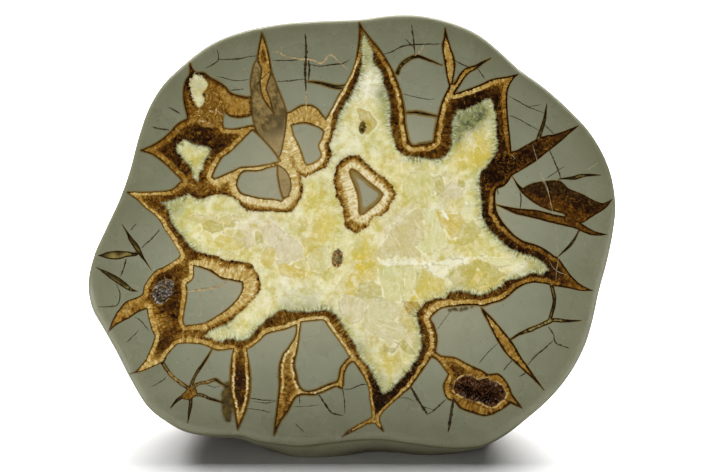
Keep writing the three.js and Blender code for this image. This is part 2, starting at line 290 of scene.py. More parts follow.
# Hairlines: width, tone (0 dark, 1 tan, 2 pale) and the line that each follows.
Hairline = namedtuple("Hairline", "width tone points")
HAIRLINES = [Hairline(*row[:2], row[2:]) for row in (
    (1.6, 0, (-25, 225), (-24.5, 214.5), (-25, 205), (-24.6, 193.5)),
    (1.2, 0, (-23.4, 211), (-22.8, 206), (-23.3, 199.5)),
    (0.9, 1, (-24.1, 195), (-24.5, 186)),
    (0.7, 0, (-43, 210.5), (-33, 210.3), (-28, 211), (-24, 211)),
    (1.2, 1, (-43, 215), (-39, 215), (-36, 213), (-28, 211.2), (-22, 211), (-16, 209), (-12, 213.5),
     (-9, 212), (-5, 208), (-1.5, 205)),
    (0.8, 0, (-23, 208.7), (-18, 207.3), (-9, 208.2), (-4.5, 208.8), (-1, 210.7)),
    (0.7, 0, (-41, 199), (-34, 199.3), (-25, 200.5)),
    (0.7, 0, (-72.8, 216.5), (-72, 210.5), (-79, 206)),
    (0.7, 0, (-72, 210.8), (-61, 211.2), (-56, 212.3), (-50, 213)),
    (0.5, 0, (-73.5, 201.8), (-69, 201), (-62, 199.4), (-54.5, 200.4)),
    (0.6, 0, (-66, 194), (-58, 195)),
    (0.5, 0, (-52.5, 196), (-48, 201), (-43.5, 205)),
    (0.8, 0, (16, 213.6), (21, 214.7), (30, 218.5), (50, 219.3)),
    (0.9, 0, (32.3, 230), (33.8, 219), (34.1, 212.3)),
    (0.6, 0, (29, 222), (33.5, 217.5)),
    (0.9, 1, (34.2, 213), (37, 215.5), (38.7, 218.5)),
    (0.7, 0, (55.5, 210.7), (60, 208), (64, 206.6)),
    (0.6, 0, (67.5, 207), (72.3, 200)),
    (0.5, 0, (27, 192.5), (40, 189.5), (45, 189.8)),
    (0.6, 0, (104.3, 182), (96, 185), (85, 191.2)),
    (0.4, 0, (95, 185.4), (103, 186.5)),
    (0.6, 0, (104, 175.8), (110, 170)),
    (0.6, 0, (83.8, 181), (90, 178.8), (102, 172)),
    (0.8, 0, (106.5, 163), (112, 150), (113.3, 144.5)),
    (0.6, 0, (105.5, 146.8), (115, 153.3)),
    (0.6, 0, (78.4, 141.5), (79.4, 137.6)),
    (0.7, 0, (90.8, 139.6), (91.5, 136), (91, 129.5)),
    (0.32, 2, (100.5, 153), (107, 137)),
    (0.32, 2, (127, 151), (133.5, 155.3)),
    (0.9, 0, (106, 67), (109, 62.5), (109.5, 59.5), (111, 57.3), (118, 54.8)),
    (0.8, 0, (109.5, 59.6), (104, 54.5), (99, 50.5), (95, 45.6)),
    (0.5, 0, (79, 57.6), (75, 54), (68.5, 46.6)),
    (0.6, 0, (87.3, 49), (84, 45.5), (82, 42.6)),
    (0.6, 0, (95, 42.2), (90.4, 39.6)),
    (0.4, 0, (53.5, 75), (46.3, 65)),
    (1.7, 0, (31.5, 35), (36, 27), (41.3, 18.6)),
    (0.8, 0, (40.6, 19.4), (44, 21), (51, 27.4)),
    (0.5, 0, (38, 23.5), (44.5, 21.8)),
    (0.4, 0, (25, 28.2), (30, 28), (34.5, 25.8)),
    (1.9, 0, (55.3, 29), (52.2, 9.5)),
    (1, 0, (-18.5, 31), (-11.5, 21), (-9, 19.5), (-4, 18.6)),
    (0.7, 0, (-5, 34), (-3.8, 26), (-3.7, 19.5)),
    (0.7, 0, (-5, 33.2), (-1, 32.8), (5, 35.2), (9, 35.4)),
    (0.6, 0, (-56, 28.2), (-48, 27), (-39.8, 26.8)),
    (0.5, 0, (-53, 26.3), (-47, 25.3), (-41, 26.2)),
    (0.5, 0, (-57.5, 22.5), (-50, 21.6), (-43.5, 20.2)),
    (0.6, 0, (-30.5, 14.3), (-25.6, 9.6)),
    (0.6, 0, (-28, 30), (-28, 24.6)),
    (0.4, 0, (-31.5, 23.4), (-24, 23.6), (-17.5, 24.4)),
    (0.8, 0, (-113.6, 109), (-107.5, 114.5), (-103.4, 119.2)),
    (0.6, 0, (-119.3, 118.6), (-116.2, 122.3)),
    (0.9, 0, (-121.5, 104), (-123, 98), (-124.7, 93.4)),
    (0.7, 0, (-127.4, 90), (-125, 84.5), (-126, 79), (-129, 77.5), (-137, 77.3)),
    (0.6, 0, (-117.5, 71.8), (-114, 70), (-109.6, 64.6)),
    (0.5, 0, (-114.5, 65), (-121.5, 58)),
    (0.8, 0, (-99, 185.3), (-92, 181.4)),
    (0.9, 0, (-108, 174.7), (-104, 173.5), (-98.3, 172.7)),
    (0.5, 0, (-99.6, 40), (-102, 37.5), (-108.5, 33.8)),
    (0.4, 0, (-78.5, 35.2), (-74, 34), (-70.5, 34.7)),
    (0.32, 2, (-87.3, 68), (-83.6, 76), (-81, 86), (-84.3, 95.5)),
    (0.32, 2, (-81, 68.6), (-82, 85), (-85, 95)),
    (0.32, 2, (-99, 115), (-97, 100)),
    (1.3, 1, (-89.5, 85.5), (-72, 88.2), (-66.5, 92.3)),
    (0.32, 2, (97.5, 165.5), (101, 154)),
    (0.32, 2, (103, 148), (106, 140.5), (109, 127)),
    (0.32, 2, (110, 122), (111.6, 104), (110.8, 98), (110.3, 91)),
    (0.32, 2, (107, 102), (109.8, 97.5), (117, 94)),
    (0.32, 2, (86.5, 159.5), (88.5, 157)),
)]

# The lining along the walls: (across, up, rind, band, dark, pale, core). Rind and band are the widths of the
# darker rind on the wall and of the pale band inside it. Dark, pale and core are the shades of the rind, of
# the band and of what is inside it, 0 near black to 1 cream.
LININGS = [
    (27, 190, 1.2, 1.7, 0.2, 0.66, 0.12), (44, 162, 1.5, 2.2, 0.22, 0.66, 0.12),
    (10, 218, 1, 1.8, 0.2, 0.32, 0.08), (0, 205, 0, 1.2, 0.3, 0.86, 0.1),
    (-8, 185, 0.2, 1.6, 0.3, 0.86, 0.1), (66, 190, 0.9, 2.1, 0.05, 0.74, 0.02),
    (82, 178, 0.9, 2, 0.05, 0.35, 0.06), (74, 155, 1.2, 1.8, 0.05, 0.4, 0.02),
    (76, 125, 1.9, 2, 0.05, 0.52, 0.03), (95, 105, 1.1, 2, 0.05, 0.22, 0.02),
    (100, 92, 0.7, 2.1, 0.05, 0.36, 0.04), (66, 80, 0.8, 2.2, 0.05, 0.68, 0.1),
    (45, 77, 0.6, 2.9, 0.3, 0.74, 0.3), (42, 62, 1.7, 2.2, 0.2, 0.68, 0.1),
    (33, 40, 0.7, 1.6, 0.2, 0.62, 0.02), (12, 30, 0, 1.3, 0.3, 0.62, 0),
    (-3, 58, -0.2, 1.6, 0.3, 0.76, 0.24), (-22, 70, 0.3, 1.6, 0.3, 0.8, 0.14),
    (-42, 66, 0.4, 2, 0.3, 0.7, 0.14), (-58, 57, 0.2, 1.6, 0.3, 0.62, 0.18),
    (-84, 60, 0.2, 2.2, 0.3, 0.62, 0.32), (-50, 80, 0.3, 6, 0.3, 0.74, 0.55),
    (-54, 94, 0.7, 6, 0.2, 0.72, 0.6), (-72, 98, 0.9, 4.1, 0.2, 0.72, 0.45),
    (-95, 112, 0.1, 2, 0.3, 0.76, 0.16), (-108, 137, 0.2, 1.4, 0.3, 0.66, 0.16),
    (-97, 148, 0.5, 2.3, 0.3, 0.42, 0.1), (-92, 160, 1, 2.4, 0.2, 0.3, 0.05),
    (-82, 170, 1, 2, 0.2, 0.28, 0.06), (-72, 166, 0.4, 2.2, 0.3, 0.58, 0.08),
    (-80, 146, 0.6, 2.1, 0.3, 0.7, 0.26), (-70, 142, 0.5, 3.5, 0.3, 0.74, 0.36),
    (-58, 134, 0.6, 3.4, 0.3, 0.86, 0.4), (-45, 131, 0.3, 3.7, 0.3, 0.89, 0.46),
    (-30, 136, 0, 4, 0.3, 0.86, 0.5), (-28, 150, 0, 4, 0.3, 0.82, 0.5),
    (-13, 160, -0.2, 2.4, 0.3, 0.9, 0.36), (-22, 179, 0.6, 6, 0.3, 0.62, 0.6),
    (-35, 165, 0, 4.5, 0.3, 0.82, 0.6), (-60, 187, 1.4, 5, 0.2, 0.5, 0.44),
    (-72, 190, 1.3, 6, 0.2, 0.42, 0.4), (-88, 190, 2, 3.5, 0.15, 0.26, 0.42),
    (-100, 85, 0.3, 2.6, 0.3, 0.56, 0.09), (-104, 71, 0.3, 2.4, 0.3, 0.72, 0.42),
    (-97, 75, 0.3, 2, 0.3, 0.6, 0.06),
    (-120, 74, 1, 2, 0.2, 0.46, 0.34), (-5, 140, 0, 5.4, 0.3, 0.9, 0.52),
    (16, 143, -0.2, 2.6, 0.3, 0.98, 0.6), (12, 127, -0.3, 4.4, 0.3, 0.94, 0.58),
    (-60, 35, 1.2, 1.1, 0.32, 0.8, 0.04), (-35, 40, 1.2, 1.1, 0.3, 0.84, 0.3),
    (-20, 31, 0.8, 1.3, 0.24, 0.74, 0.28), (68, 30, 1, 3.2, 0.12, 0.38, 0.2),
    (103, 165, 0.7, 1.2, 0.02, 0.1, 0.05), (104, 138, 0.8, 1.4, 0.02, 0.08, 0.08),
    (106, 126, 1, 1.2, 0.02, 0.26, 0.18), (88, 56, 0.9, 2.4, 0.05, 0.44, 0.36),
    (53, 212, 0.9, 2.4, 0.08, 0.56, 0.5), (66, 205, 0.8, 1.6, 0.06, 0.5, 0.38),
    (-88, 32, 0.3, 1.2, 0.12, 0.3, 0.2), (-47, 200, 0.5, 5, 0.14, 0.54, 0.44),
    (-48, 214, 0.6, 1.1, 0.14, 0.5, 0.15), (112, 169, 0.7, 1, 0.02, 0.1, 0.03),
    (93, 157, 0.8, 1, 0.02, 0.1, 0.02), (122, 137, 0.6, 0.8, 0.02, 0.08, 0.03),
    (135, 134, 0.6, 0.8, 0.02, 0.08, 0.04), (92, 144, 0.6, 0.8, 0.02, 0.08, 0.03),
    (88, 130, 0.7, 0.8, 0.02, 0.12, 0.08), (100, 127, 0.7, 0.8, 0.02, 0.1, 0.03),
    (125, 121, 0.7, 0.8, 0.02, 0.14, 0.06), (118, 94, 0.8, 1.4, 0.04, 0.2, 0.07),
    (124, 89, 0.5, 0.9, 0.04, 0.26, 0.2), (-101, 95, 0.3, 2, 0.2, 0.5, 0.08),
    (-105, 46, 0.4, 2, 0.3, 0.72, 0.4), (-101, 58, 0.4, 1.8, 0.3, 0.66, 0.08),
    (51, 44, 0.7, 1.8, 0.3, 0.52, 0.14), (-66, 168, 0.4, 2, 0.3, 0.56, 0.1),
    (-90, 97, 0.3, 2.2, 0.3, 0.74, 0.24), (-3, 44, 0.7, 2.4, 0.26, 0.56, 0.32),
    (-40, 22, 0.8, 1.2, 0.2, 0.4, 0.3),
]

# How far the brown stain beside the walls reaches into the stone: (across, up, width).
STAINS = [
    (-60, 60, 0.7), (-22, 75, 0.8), (-60, 35, 1.1), (-60, 145, 0.8), (-35, 150, 0.9), (-22, 170, 0.9),
    (6, 138, 2.5), (40, 160, 1.2), (-78, 85, 0.7), (-100, 140, 0.8), (-60, 190, 0.8), (10, 215, 0.78),
    (55, 212, 0.55), (80, 120, 0.47), (100, 160, 0.39), (112, 130, 0.31), (90, 55, 0.47), (70, 30, 0.62),
    (35, 45, 0.78), (75, 80, 0.7), (-125, 102, 0.2), (-85, 31, 0.23), (110, 73, 0.23), (118, 112, 0.23),
    (125, 147, 0.23), (-128, 92, 0.2), (-112, 110, 0.23), (104, 176, 0.23),
]

# Patches in the fillings: (across, up, radius, strength). Yellow ones are tan in narrow cracks. Speckled ones
# are dark specks in the calcite and a dark blotch in the grey lens.
PATCHES = {"yellow": [
    (5, 97, 8, 1), (1, 88, 6, 0.9), (-13, 122, 8, 0.8), (-35, 97, 6, 1), (-26, 96, 5, 0.9),
    (35, 79, 6, 1.2), (32, 70, 7, 0.8), (66, 92, 8, 0.9), (75, 88, 7, 0.8), (40, 92, 8, 0.7),
    (72, 158, 6, 1.3), (60, 158, 8, 0.7), (18, 118, 8, 0.6), (-20, 110, 8, 0.7), (8, 104, 8, 0.7),
    (30, 150, 12, 0.5), (85, 100, 10, 0.5), (-68, 118, 12, 0.5), (-55, 113, 8, 0.5), (24, 140, 8, 0.4),
    (55, 120, 10, 0.5), (68, 170, 7, 0.6), (-84, 158, 6, 0.35), (-20, 138, 9, 0.5), (60, 105, 10, 0.4),
    (20, 45, 6, 0.7), (45, 110, 8, 0.4), (-95, 40, 6, 1.1), (-79, 36.5, 5, 1), (-50, 79, 6, 0.45),
], "beige": [
    (-47, 117, 13, 1), (-34, 112, 11, 1), (-58, 122, 10, 0.7), (-4, 80, 8, 0.9), (10, 86, 8, 0.6),
    (24, 115, 12, 0.9), (30, 124, 10, 0.8), (56, 140, 9, 0.8), (20, 70, 12, 1), (28, 62, 9, 0.8),
    (14, 64, 7, 0.7), (44, 125, 10, 0.5), (-75, 124, 8, 0.4), (58, 96, 8, 0.4),
], "green": [
    (56, 179, 6, 1.7), (62, 184, 6, 1.6), (69, 185, 5, 0.9), (55, 169, 5, 1.2), (62, 177, 6, 0.8),
    (-24, 77, 8, 0.35), (-34, 78, 6, 0.3), (-84, 197, 6, 0.45), (101, 100, 7, 0.7), (21, 182, 5, 0.8),
    (18, 192, 5, 0.8), (9, 212, 5, 0.6), (-96, 131, 6, 0.6), (14, 38, 5, 0.5), (5, 53, 6, 0.5),
    (70, 180, 7, 0.5),
], "white": [
    (3, 196, 9, 1.4), (14, 200, 8, 1.2), (-10, 150, 8, 0.5), (26, 101, 9, 0.7), (45, 101, 8, 0.6),
    (60, 101, 6, 0.6), (50, 126, 6, 0.8), (-56, 126, 6, 0.6), (25, 90, 8, 0.4), (-40, 88, 8, 0.6),
    (-5, 170, 8, 0.6), (40, 150, 8, 0.4), (-82, 200, 4, 0.3), (92, 99, 8, 0.5), (-25, 85, 9, 0.5),
], "speckled": [
    (-6, 119, 2.6, 1), (-4, 116.5, 2.2, 0.8), (-8, 112, 2.6, 0.5), (-9.5, 97.5, 3, 0.5),
    (-7.5, 104, 4.5, 0.6), (60, 172, 7, 0.5), (65, 166, 4, 0.4), (-36, 76, 5, 0.4), (101, 99, 5, 0.4),
    (-85, 198, 5, 0.8), (-39, 176, 4.5, 1), (-43, 172, 3, 0.5),
]}

# Crystals that are large enough to see one by one: tint, how strong it is, the way their striae run in
# degrees from level, and their outline. A later one lies over an earlier one.
Crystal = namedtuple("Crystal", "tint strength lay points")
TINTS = {
    "white": "f4f3e0", "pale": "d9d6a0", "cream": "d2cb9c", "straw": "d0cc8e", "lilac": "d3c7a4",
    "beige": "ccc08c", "olive": "b2a652", "ochre": "cdb552", "yellow": "c9b64c", "tan": "ab9c58",
    "amber": "a07c04", "honey": "ae961c", "umber": "382810", "russet": "6a4412",
}
CRYSTALS = [Crystal(*row[:3], row[3:]) for row in (
    ("beige", 0.95, 60, (15, 103), (13, 106), (24, 122), (34, 130.5), (38.3, 130.5), (39.2, 120),
     (38.7, 113), (35, 112), (34.5, 109.5), (40, 104.5), (33, 103.5), (25, 105), (18, 102)),
    ("pale", 0.9, 95, (39, 130.5), (45.5, 129.5), (48, 121.5), (51.5, 116.5), (52, 109), (41, 106.5),
     (40.3, 104.8), (35.2, 109.5), (36, 112), (39.2, 113), (39.6, 120)),
    ("ochre", 0.85, 40, (45.5, 129.5), (52, 127.5), (58, 128), (62, 122.5), (58, 117), (54, 113),
     (51.8, 117), (48.3, 121.5)),
    ("straw", 0.95, 85, (16.5, 100), (36, 100), (38.7, 98), (31.5, 80.5), (28, 80), (18, 80.5), (16.8, 87),
     (15, 92), (14, 97)),
    ("pale", 0.8, 85, (29, 99), (35.5, 99), (35, 92), (31, 80.8), (28, 80.5)),
    ("cream", 0.95, 20, (9.5, 79), (17, 81), (24, 80), (27.5, 76), (23.5, 70), (31, 65), (28, 60.5),
     (20, 58.5), (12, 61.5), (5, 67)),
    ("lilac", 0.85, 110, (-4, 84), (5, 82.5), (9.3, 79), (8, 74.5), (5, 70), (0, 68), (-6, 74), (-7, 80)),
    ("olive", 0.7, 0, (4.5, 90), (12, 91.5), (16.5, 88), (16.8, 82), (9.5, 81.5), (5, 83), (3, 86)),
    ("yellow", 0.75, 70, (38.7, 98), (45, 94), (50, 92), (52, 86.5), (45, 82), (36.5, 81), (34.3, 86)),
    ("white", 0.55, 15, (41.5, 100), (50, 99.5), (52.5, 96), (50, 92.3), (45, 94.3), (41, 97)),
    ("lilac", 0.8, 30, (48.5, 138), (54, 145), (58.5, 144.5), (60, 139.5), (57, 135), (50, 135.5)),
    ("olive", 0.7, 50, (60, 122), (66, 124), (70, 118), (66, 112), (60, 110), (56, 112), (58.5, 117)),
    ("olive", 0.8, 55, (55, 98), (62, 100.5), (70, 103), (84, 94.5), (73, 88.5), (63, 87.5), (55.5, 88.5),
     (52.5, 94)),
    ("yellow", 0.8, 55, (68, 98), (72, 96), (66, 88), (63.5, 88.5)),
    ("pale", 0.8, 10, (62, 102), (70, 105), (80, 104), (92, 103.5), (96, 100.5), (78, 99), (70, 103.3)),
    ("straw", 0.7, 80, (32, 150), (43, 149), (46, 140.5), (40, 133.5), (32, 134), (27, 140.5), (28, 147)),
    ("olive", 0.65, 80, (44, 149), (48.5, 148), (50, 141), (46.5, 137), (45, 141)),
    ("olive", 0.85, 20, (57.5, 147), (61, 145), (61, 141), (57.5, 142.5)),
    ("lilac", 0.95, 130, (-50, 118.5), (-46, 122.5), (-40, 121), (-36, 117), (-30, 113.5), (-26, 110),
     (-26, 104), (-30, 102), (-38, 100.5), (-41, 104), (-43, 110), (-49, 114.5)),
    ("olive", 0.8, 70, (-52.3, 119.3), (-49, 118), (-47.3, 112), (-51, 111), (-52.5, 114)),
    ("olive", 0.7, 70, (-41.5, 112.5), (-39.6, 116), (-37, 112.8), (-39.5, 113.4)),
    ("lilac", 0.9, 70, (-58, 114), (-55, 118.3), (-52.4, 116.5), (-52.6, 111), (-56, 109)),
    ("olive", 0.95, 10, (-81, 122), (-76, 124.5), (-71, 122.5), (-66, 121), (-70, 118), (-76, 117),
     (-80.5, 119)),
    ("tan", 0.65, 50, (-67, 121), (-66, 118.7), (-63, 120), (-60.5, 124), (-62, 125.3), (-65, 123.5)),
    ("beige", 0.65, 10, (-91, 124.5), (-86, 127.5), (-72, 125.5), (-66, 127), (-61, 126), (-61, 122),
     (-64, 125), (-71, 122.6), (-76, 124.6), (-82, 122)),
    ("yellow", 0.7, 20, (-76, 114), (-70, 116.5), (-57, 112), (-60, 108), (-66, 107), (-72, 109)),
    ("ochre", 0.75, 100, (-50, 104), (-45.5, 110), (-41.3, 109), (-41, 102), (-45, 98), (-49, 100)),
    ("ochre", 0.85, 0, (-41, 99.5), (-36, 101), (-24, 96.5), (-25, 93), (-32, 93), (-38, 95)),
    ("cream", 0.7, 90, (-20, 109), (-12, 110), (-11, 100), (-16, 95), (-22, 97), (-25, 103)),
    ("tan", 0.9, 0, (17.4, 55.8), (23.8, 54.6), (23.5, 51.8), (17, 53.2)),
    ("olive", 0.85, 120, (24, 59), (29, 59.5), (33, 55), (35, 51.5), (31, 51.5), (27, 54.5)),
    ("yellow", 0.7, 30, (23.5, 70), (28, 73), (33, 72), (36, 68), (32, 66)),
    ("amber", 0.9, 45, (28, 80), (36, 80.5), (38, 77), (36, 73.5), (31, 73), (29, 76)),
    ("honey", 0.95, 75, (2, 185.5), (10, 183), (14.5, 177), (12.5, 173), (9, 170.5), (6, 171), (6.5, 175),
     (4.5, 178), (4, 181)),
    ("yellow", 0.85, 60, (66, 165), (72, 163), (77, 160), (72.5, 152.5), (67, 152.5), (66, 158)),
    ("white", 0.75, 5, (13, 104.7), (18, 101.2), (19.5, 103), (21, 101.9), (24, 102.4), (25, 101.4),
     (29, 101.2), (31.5, 104.4), (37, 100.8), (38.5, 102.4), (40, 101.3), (44, 100.7), (40, 99.9),
     (33, 100.2), (19, 99.4), (16, 100.2)),
    ("white", 0.75, 5, (44, 100.9), (50, 102.4), (53, 104.4), (54.5, 102.6), (57, 103.6), (60, 102.7),
     (64, 104.2), (60.5, 101), (53.5, 98.7), (51, 100.2), (46, 100.2)),
    # A painted highlight: a small bright spot, given as a white crystal.
    ("white", 1, 60, (48.8, 129.2), (51.2, 128), (52.6, 125), (52, 123.8), (49.5, 126.8)),
    ("white", 0.9, 60, (60.5, 134.5), (62.5, 134), (63.8, 131.6), (61.5, 131), (61.8, 132.8)),
    ("umber", 0.95, 0, (88, 146), (92, 142), (100, 146), (112, 147), (118, 142), (124, 139.5), (132, 136),
     (140, 134.5), (134, 131.4), (128, 131.8), (117, 137.5), (111, 139), (103, 137.5), (92.5, 140.6)),
    ("russet", 0.8, 10, (97, 135.5), (110, 137.5), (116, 133), (124, 128), (131, 127.5), (126, 123.5),
     (117, 122), (114.5, 128), (104, 131)),
)]

# Dull brown films and smears in the mudstone: (across, up, radius, strength).
SMUDGES = [
    (-67, 35, 2.4, 0.9), (-67, 31, 2.8, 1.3), (-67, 27, 3, 1.5), (-67, 23, 3, 1.5), (-67, 19, 2.6, 1.3),
    (-66.3, 16, 1.6, 0.9), (-57, 89, 2.6, 0.8), (-56, 91, 2, 0.6), (53, 75.6, 1.5, 0.8),
    (56, 75.9, 1.6, 0.9), (59, 76.1, 1.6, 0.9), (62, 76.7, 1.5, 0.9), (65, 77.2, 1.3, 0.8),
    (39, 165.5, 1.6, 0.8), (42, 166.2, 1.6, 0.8), (36, 165.6, 1.3, 0.6), (-68.5, 180, 1.3, 0.4),
]

# ------------------------------------------------------------------ mesh fineness and depths

WALL_STEP = 0.8  # between points along a crack's wall
CALCITE_STEP = 1.1
AROUND = 480  # points along the stone's outline
BACK_RINGS = 64
BACK_RING_BIAS = 1.35  # above 1 puts more rings near the rim
SHARP_TURN = math.radians(52)  # a corner that turns more isn't rounded
WALL_ROUGHNESS = 0.13  # how far a wall strays from its drawn line
SEAM_UNEVENNESS = 0.22  # how much a narrow crack's width varies
SEAM_TAPERS = (0.45, 0.55)  # shares of its length over which a free start and a free end narrow
CRYSTAL_STEP = 1.0
CRYSTAL_ROUGHNESS = 0.35
GRID_BANDS = [(0.0, 1.7, 0.85), (1.7, 7.0, 1.55), (7.0, 400.0, 2.6)]  # (from, to, spacing) away from a wall
GRID_JITTER = 0.16  # how far a grid point strays, as a share of the spacing
GRID_SEED = 5
RIM_GAP = 0.6  # least distance of a grid point from the outline, as a share of the spacing
WALL_GAP = 0.45  # and from a wall
RIM_ROWS = (0.35, 0.8, 1.3, 2.1, 3.1)  # rows of points this far inside the stone's outline
WALL_CLEARANCE = 0.35  # between a wall and the points of those rows
SAMPLE_SHARES = (0, 0.25, 0.5, 0.75)  # where an edge is sampled, from its start to its end
FIBRE_FAN = 3.0  # how fast fibres change with their direction, so that they fan out round a corner
POCKET_DEPTH = 2.2  # how deep the fillings go that the face shows flush
HOLLOW_SHELL = 1.6  # thickness of the filling under an open hollow
HOLLOW_DEPTHS = {"pocket": 7.0, "spike": 4.0, "left": 3.2, "centre": 0.6}
HOLLOW_STEEPNESS = 0.32  # how far from its lip a hollow is mostly at its depth, as a share of the depth
HOLLOW_UNEVENNESS = 0.32
# The hollows' ground is painted dark: partly its own dark colour, partly painted shade in the hollow.
HOLLOW_SHADES = {"pocket": 1.0, "spike": 0.9, "left": 0.85, "centre": 0.75}  # how dark their ground is
BLEND_REACH = 3.0  # within about this distance of an entry in a table, its own values hold
POLISH_EDGE = 1.2  # how far inside the outline the full polish begins
NO_STAIN = 50.0  # the halo value of points that no brown stain reaches
RIND_SWELLS = (34.0, 0.8)  # their size and height on the back, the height as a share of its relief
RIND_DENTS = (9.0, 1.6)  # their size and depth
RIND_ONSET = 12.0  # depth behind the rim at which the rind has its full relief


# ------------------------------------------------------------------ outlines

def spline(points, step, closed=True, corner=SHARP_TURN):
    """Points a step apart on the centripetal Catmull-Rom curve through the given ones. Sharp corners stay."""
    points = np.asarray(points, float)
    count = len(points)
    last = count if closed else count - 1
    away = [points[(k + 1) % count] - points[k] for k in range(count)]
    sharp = [not closed and k in (0, count - 1) or turn(away[k - 1], away[k]) > corner for k in range(count)]
    out = []
    for k in range(last):
        begin, end = points[k], points[(k + 1) % count]
        before = 2 * begin - end if sharp[k] else points[k - 1]
        after = 2 * end - begin if sharp[(k + 1) % count] else points[(k + 2) % count]
        spans = [max(math.dist(a, b) ** 0.5, 1e-6) for a, b in ((before, begin), (begin, end), (end, after))]
        leave = spans[1] * ((begin - before) / spans[0] - (end - before) / (spans[0] + spans[1])
                            + (end - begin) / spans[1])
        arrive = spans[1] * ((end - begin) / spans[1] - (after - begin) / (spans[1] + spans[2])
                             + (after - end) / spans[2])
        t = np.linspace(0, 1, max(1, round(math.dist(begin, end) / step)) + 1)[:-1, None]
        out.append((2 * t**3 - 3 * t**2 + 1) * begin + (t**3 - 2 * t**2 + t) * leave
                   + (3 * t**2 - 2 * t**3) * end + (t**3 - t**2) * arrive)
    if not closed:
        out.append(points[-1:])
    return np.concatenate(out)


def turn(before, after):
    """The angle between two directions."""
    cosine = np.dot(before, after) / (np.linalg.norm(before) * np.linalg.norm(after))
    return math.acos(max(-1.0, min(1.0, cosine)))


def sides(points, closed=True):
    """Unit vectors to the left of a line, at each of its points."""
    if closed:
        along = np.roll(points, -1, 0) - np.roll(points, 1, 0)
    else:
        along = np.gradient(points, axis=0)
    along /= np.maximum(np.linalg.norm(along, axis=1, keepdims=True), 1e-9)
    return np.column_stack((-along[:, 1], along[:, 0]))


def ripple(points, frequency, layer):
    """Smooth noise at places on the face, between about -1 and 1."""
    return np.array([noise.noise(Vector((x * frequency, y * frequency, layer))) for x, y in points])


def roughened(points, amount, closed=True):
    """The line with its points moved sideways a little, unevenly."""
    shift = ripple(points, 0.45, 3.7) + 0.5 * ripple(points, 1.3, 8.1)
    return points + sides(points, closed) * (amount * shift)[:, None]


def anticlockwise(ring):
    """The same ring, turned round if it goes clockwise."""
    area = np.sum(ring[:, 0] * np.roll(ring[:, 1], -1) - ring[:, 1] * np.roll(ring[:, 0], -1))
    return ring if area > 0 else ring[::-1]


def tapered(to_end, length):
    """How wide a narrow crack is near a free end, from nearly 0 to 1 at a length from the end."""
    return np.clip(to_end / length, 0.06, 1) ** 0.75


def seam_outline(seam):
    """The outline of a narrow crack, pointed at its free ends."""
    line = roughened(spline(seam.points, WALL_STEP, closed=False), WALL_ROUGHNESS, closed=False)
    share = np.linspace(0, 1, len(line))
    width = seam.width * (1 + SEAM_UNEVENNESS * ripple(line, 0.3, 1.3))
    if seam.free in ("end", "both"):
        width *= tapered(1 - share, SEAM_TAPERS[1])
    if seam.free == "both":
        width *= tapered(share, SEAM_TAPERS[0])
    offset = sides(line, closed=False) * width[:, None] / 2
    return np.concatenate((line + offset, (line - offset)[::-1]))


def evenly(points, count):
    """Points spread evenly along a closed line."""
    ring = np.vstack((points, points[:1]))
    length = np.concatenate(([0], np.cumsum(np.linalg.norm(np.diff(ring, axis=0), axis=1))))
    marks = np.linspace(0, length[-1], count, endpoint=False)
    return np.column_stack([np.interp(marks, length, ring[:, k]) for k in (0, 1)])


@cache
def stone_outline():
    return evenly(spline(FACE_OUTLINE, 0.25, corner=math.pi), AROUND)


def inset(places):
    """How far places on the face are inside the outline, along the spoke from the middle."""
    edge = stone_outline() - FACE_MIDDLE
    angle = np.arctan2(edge[:, 1], edge[:, 0])
    order = np.argsort(angle)
    spoke = np.asarray(places) - FACE_MIDDLE
    reach = np.interp(np.arctan2(spoke[:, 1], spoke[:, 0]), angle[order],
                      np.linalg.norm(edge, axis=1)[order], period=2 * math.pi)
    return np.maximum(reach - np.linalg.norm(spoke, axis=1), 0)


def rim_setback(inside):
    """How far the face has rolled back at a distance inside the outline."""
    curve = spline(RIM_ROLL, 0.2, closed=False, corner=math.pi)[::-1]
    return np.interp(inside, curve[:, 0], curve[:, 1])


# ------------------------------------------------------------------ the pattern on the face

def nearest(samples, places):
    """For each place, the number of the nearest sample and the distance to it."""
    tree = kdtree.KDTree(len(samples))
    for k, (x, y) in enumerate(samples):
        tree.insert((x, y, 0), k)
    tree.balance()
    found = [tree.find((x, y, 0)) for x, y in places]
    return np.array([f[1] for f in found]), np.array([f[2] for f in found])


def triangular_grid(spacing):
    """A grid of even triangles over the face, each point moved a little."""
    low, high = stone_outline().min(0), stone_outline().max(0)
    rows = np.arange(low[1], high[1], spacing * math.sqrt(3) / 2)
    columns = np.arange(low[0], high[0], spacing)
    x, y = np.meshgrid(columns, rows)
    x[1::2] += spacing / 2
    grid = np.column_stack((x.ravel(), y.ravel()))
    return grid + np.random.default_rng(GRID_SEED).uniform(-GRID_JITTER, GRID_JITTER, grid.shape) * spacing


def grid_points(walls):
    """Loose points that make the face's mesh fine near the walls and coarse away from them."""
    kept = []
    for start, stop, spacing in GRID_BANDS:
        grid = triangular_grid(spacing)
        grid = grid[inset(grid) > RIM_GAP * spacing]
        distance = nearest(walls, grid)[1]
        kept.append(grid[(distance >= max(start, WALL_GAP * spacing)) & (distance < stop)])
    return np.concatenate(kept)


def rim_points(walls):
    """Rows of points along the outline, where the face rolls over, away from the walls."""
    spoke = stone_outline() - FACE_MIDDLE
    reach = np.linalg.norm(spoke, axis=1)
    rows = [evenly(FACE_MIDDLE + spoke * (1 - step / reach)[:, None], AROUND) for step in RIM_ROWS]
    points = np.concatenate(rows)
    return points[nearest(walls, points)[1] > WALL_CLEARANCE]


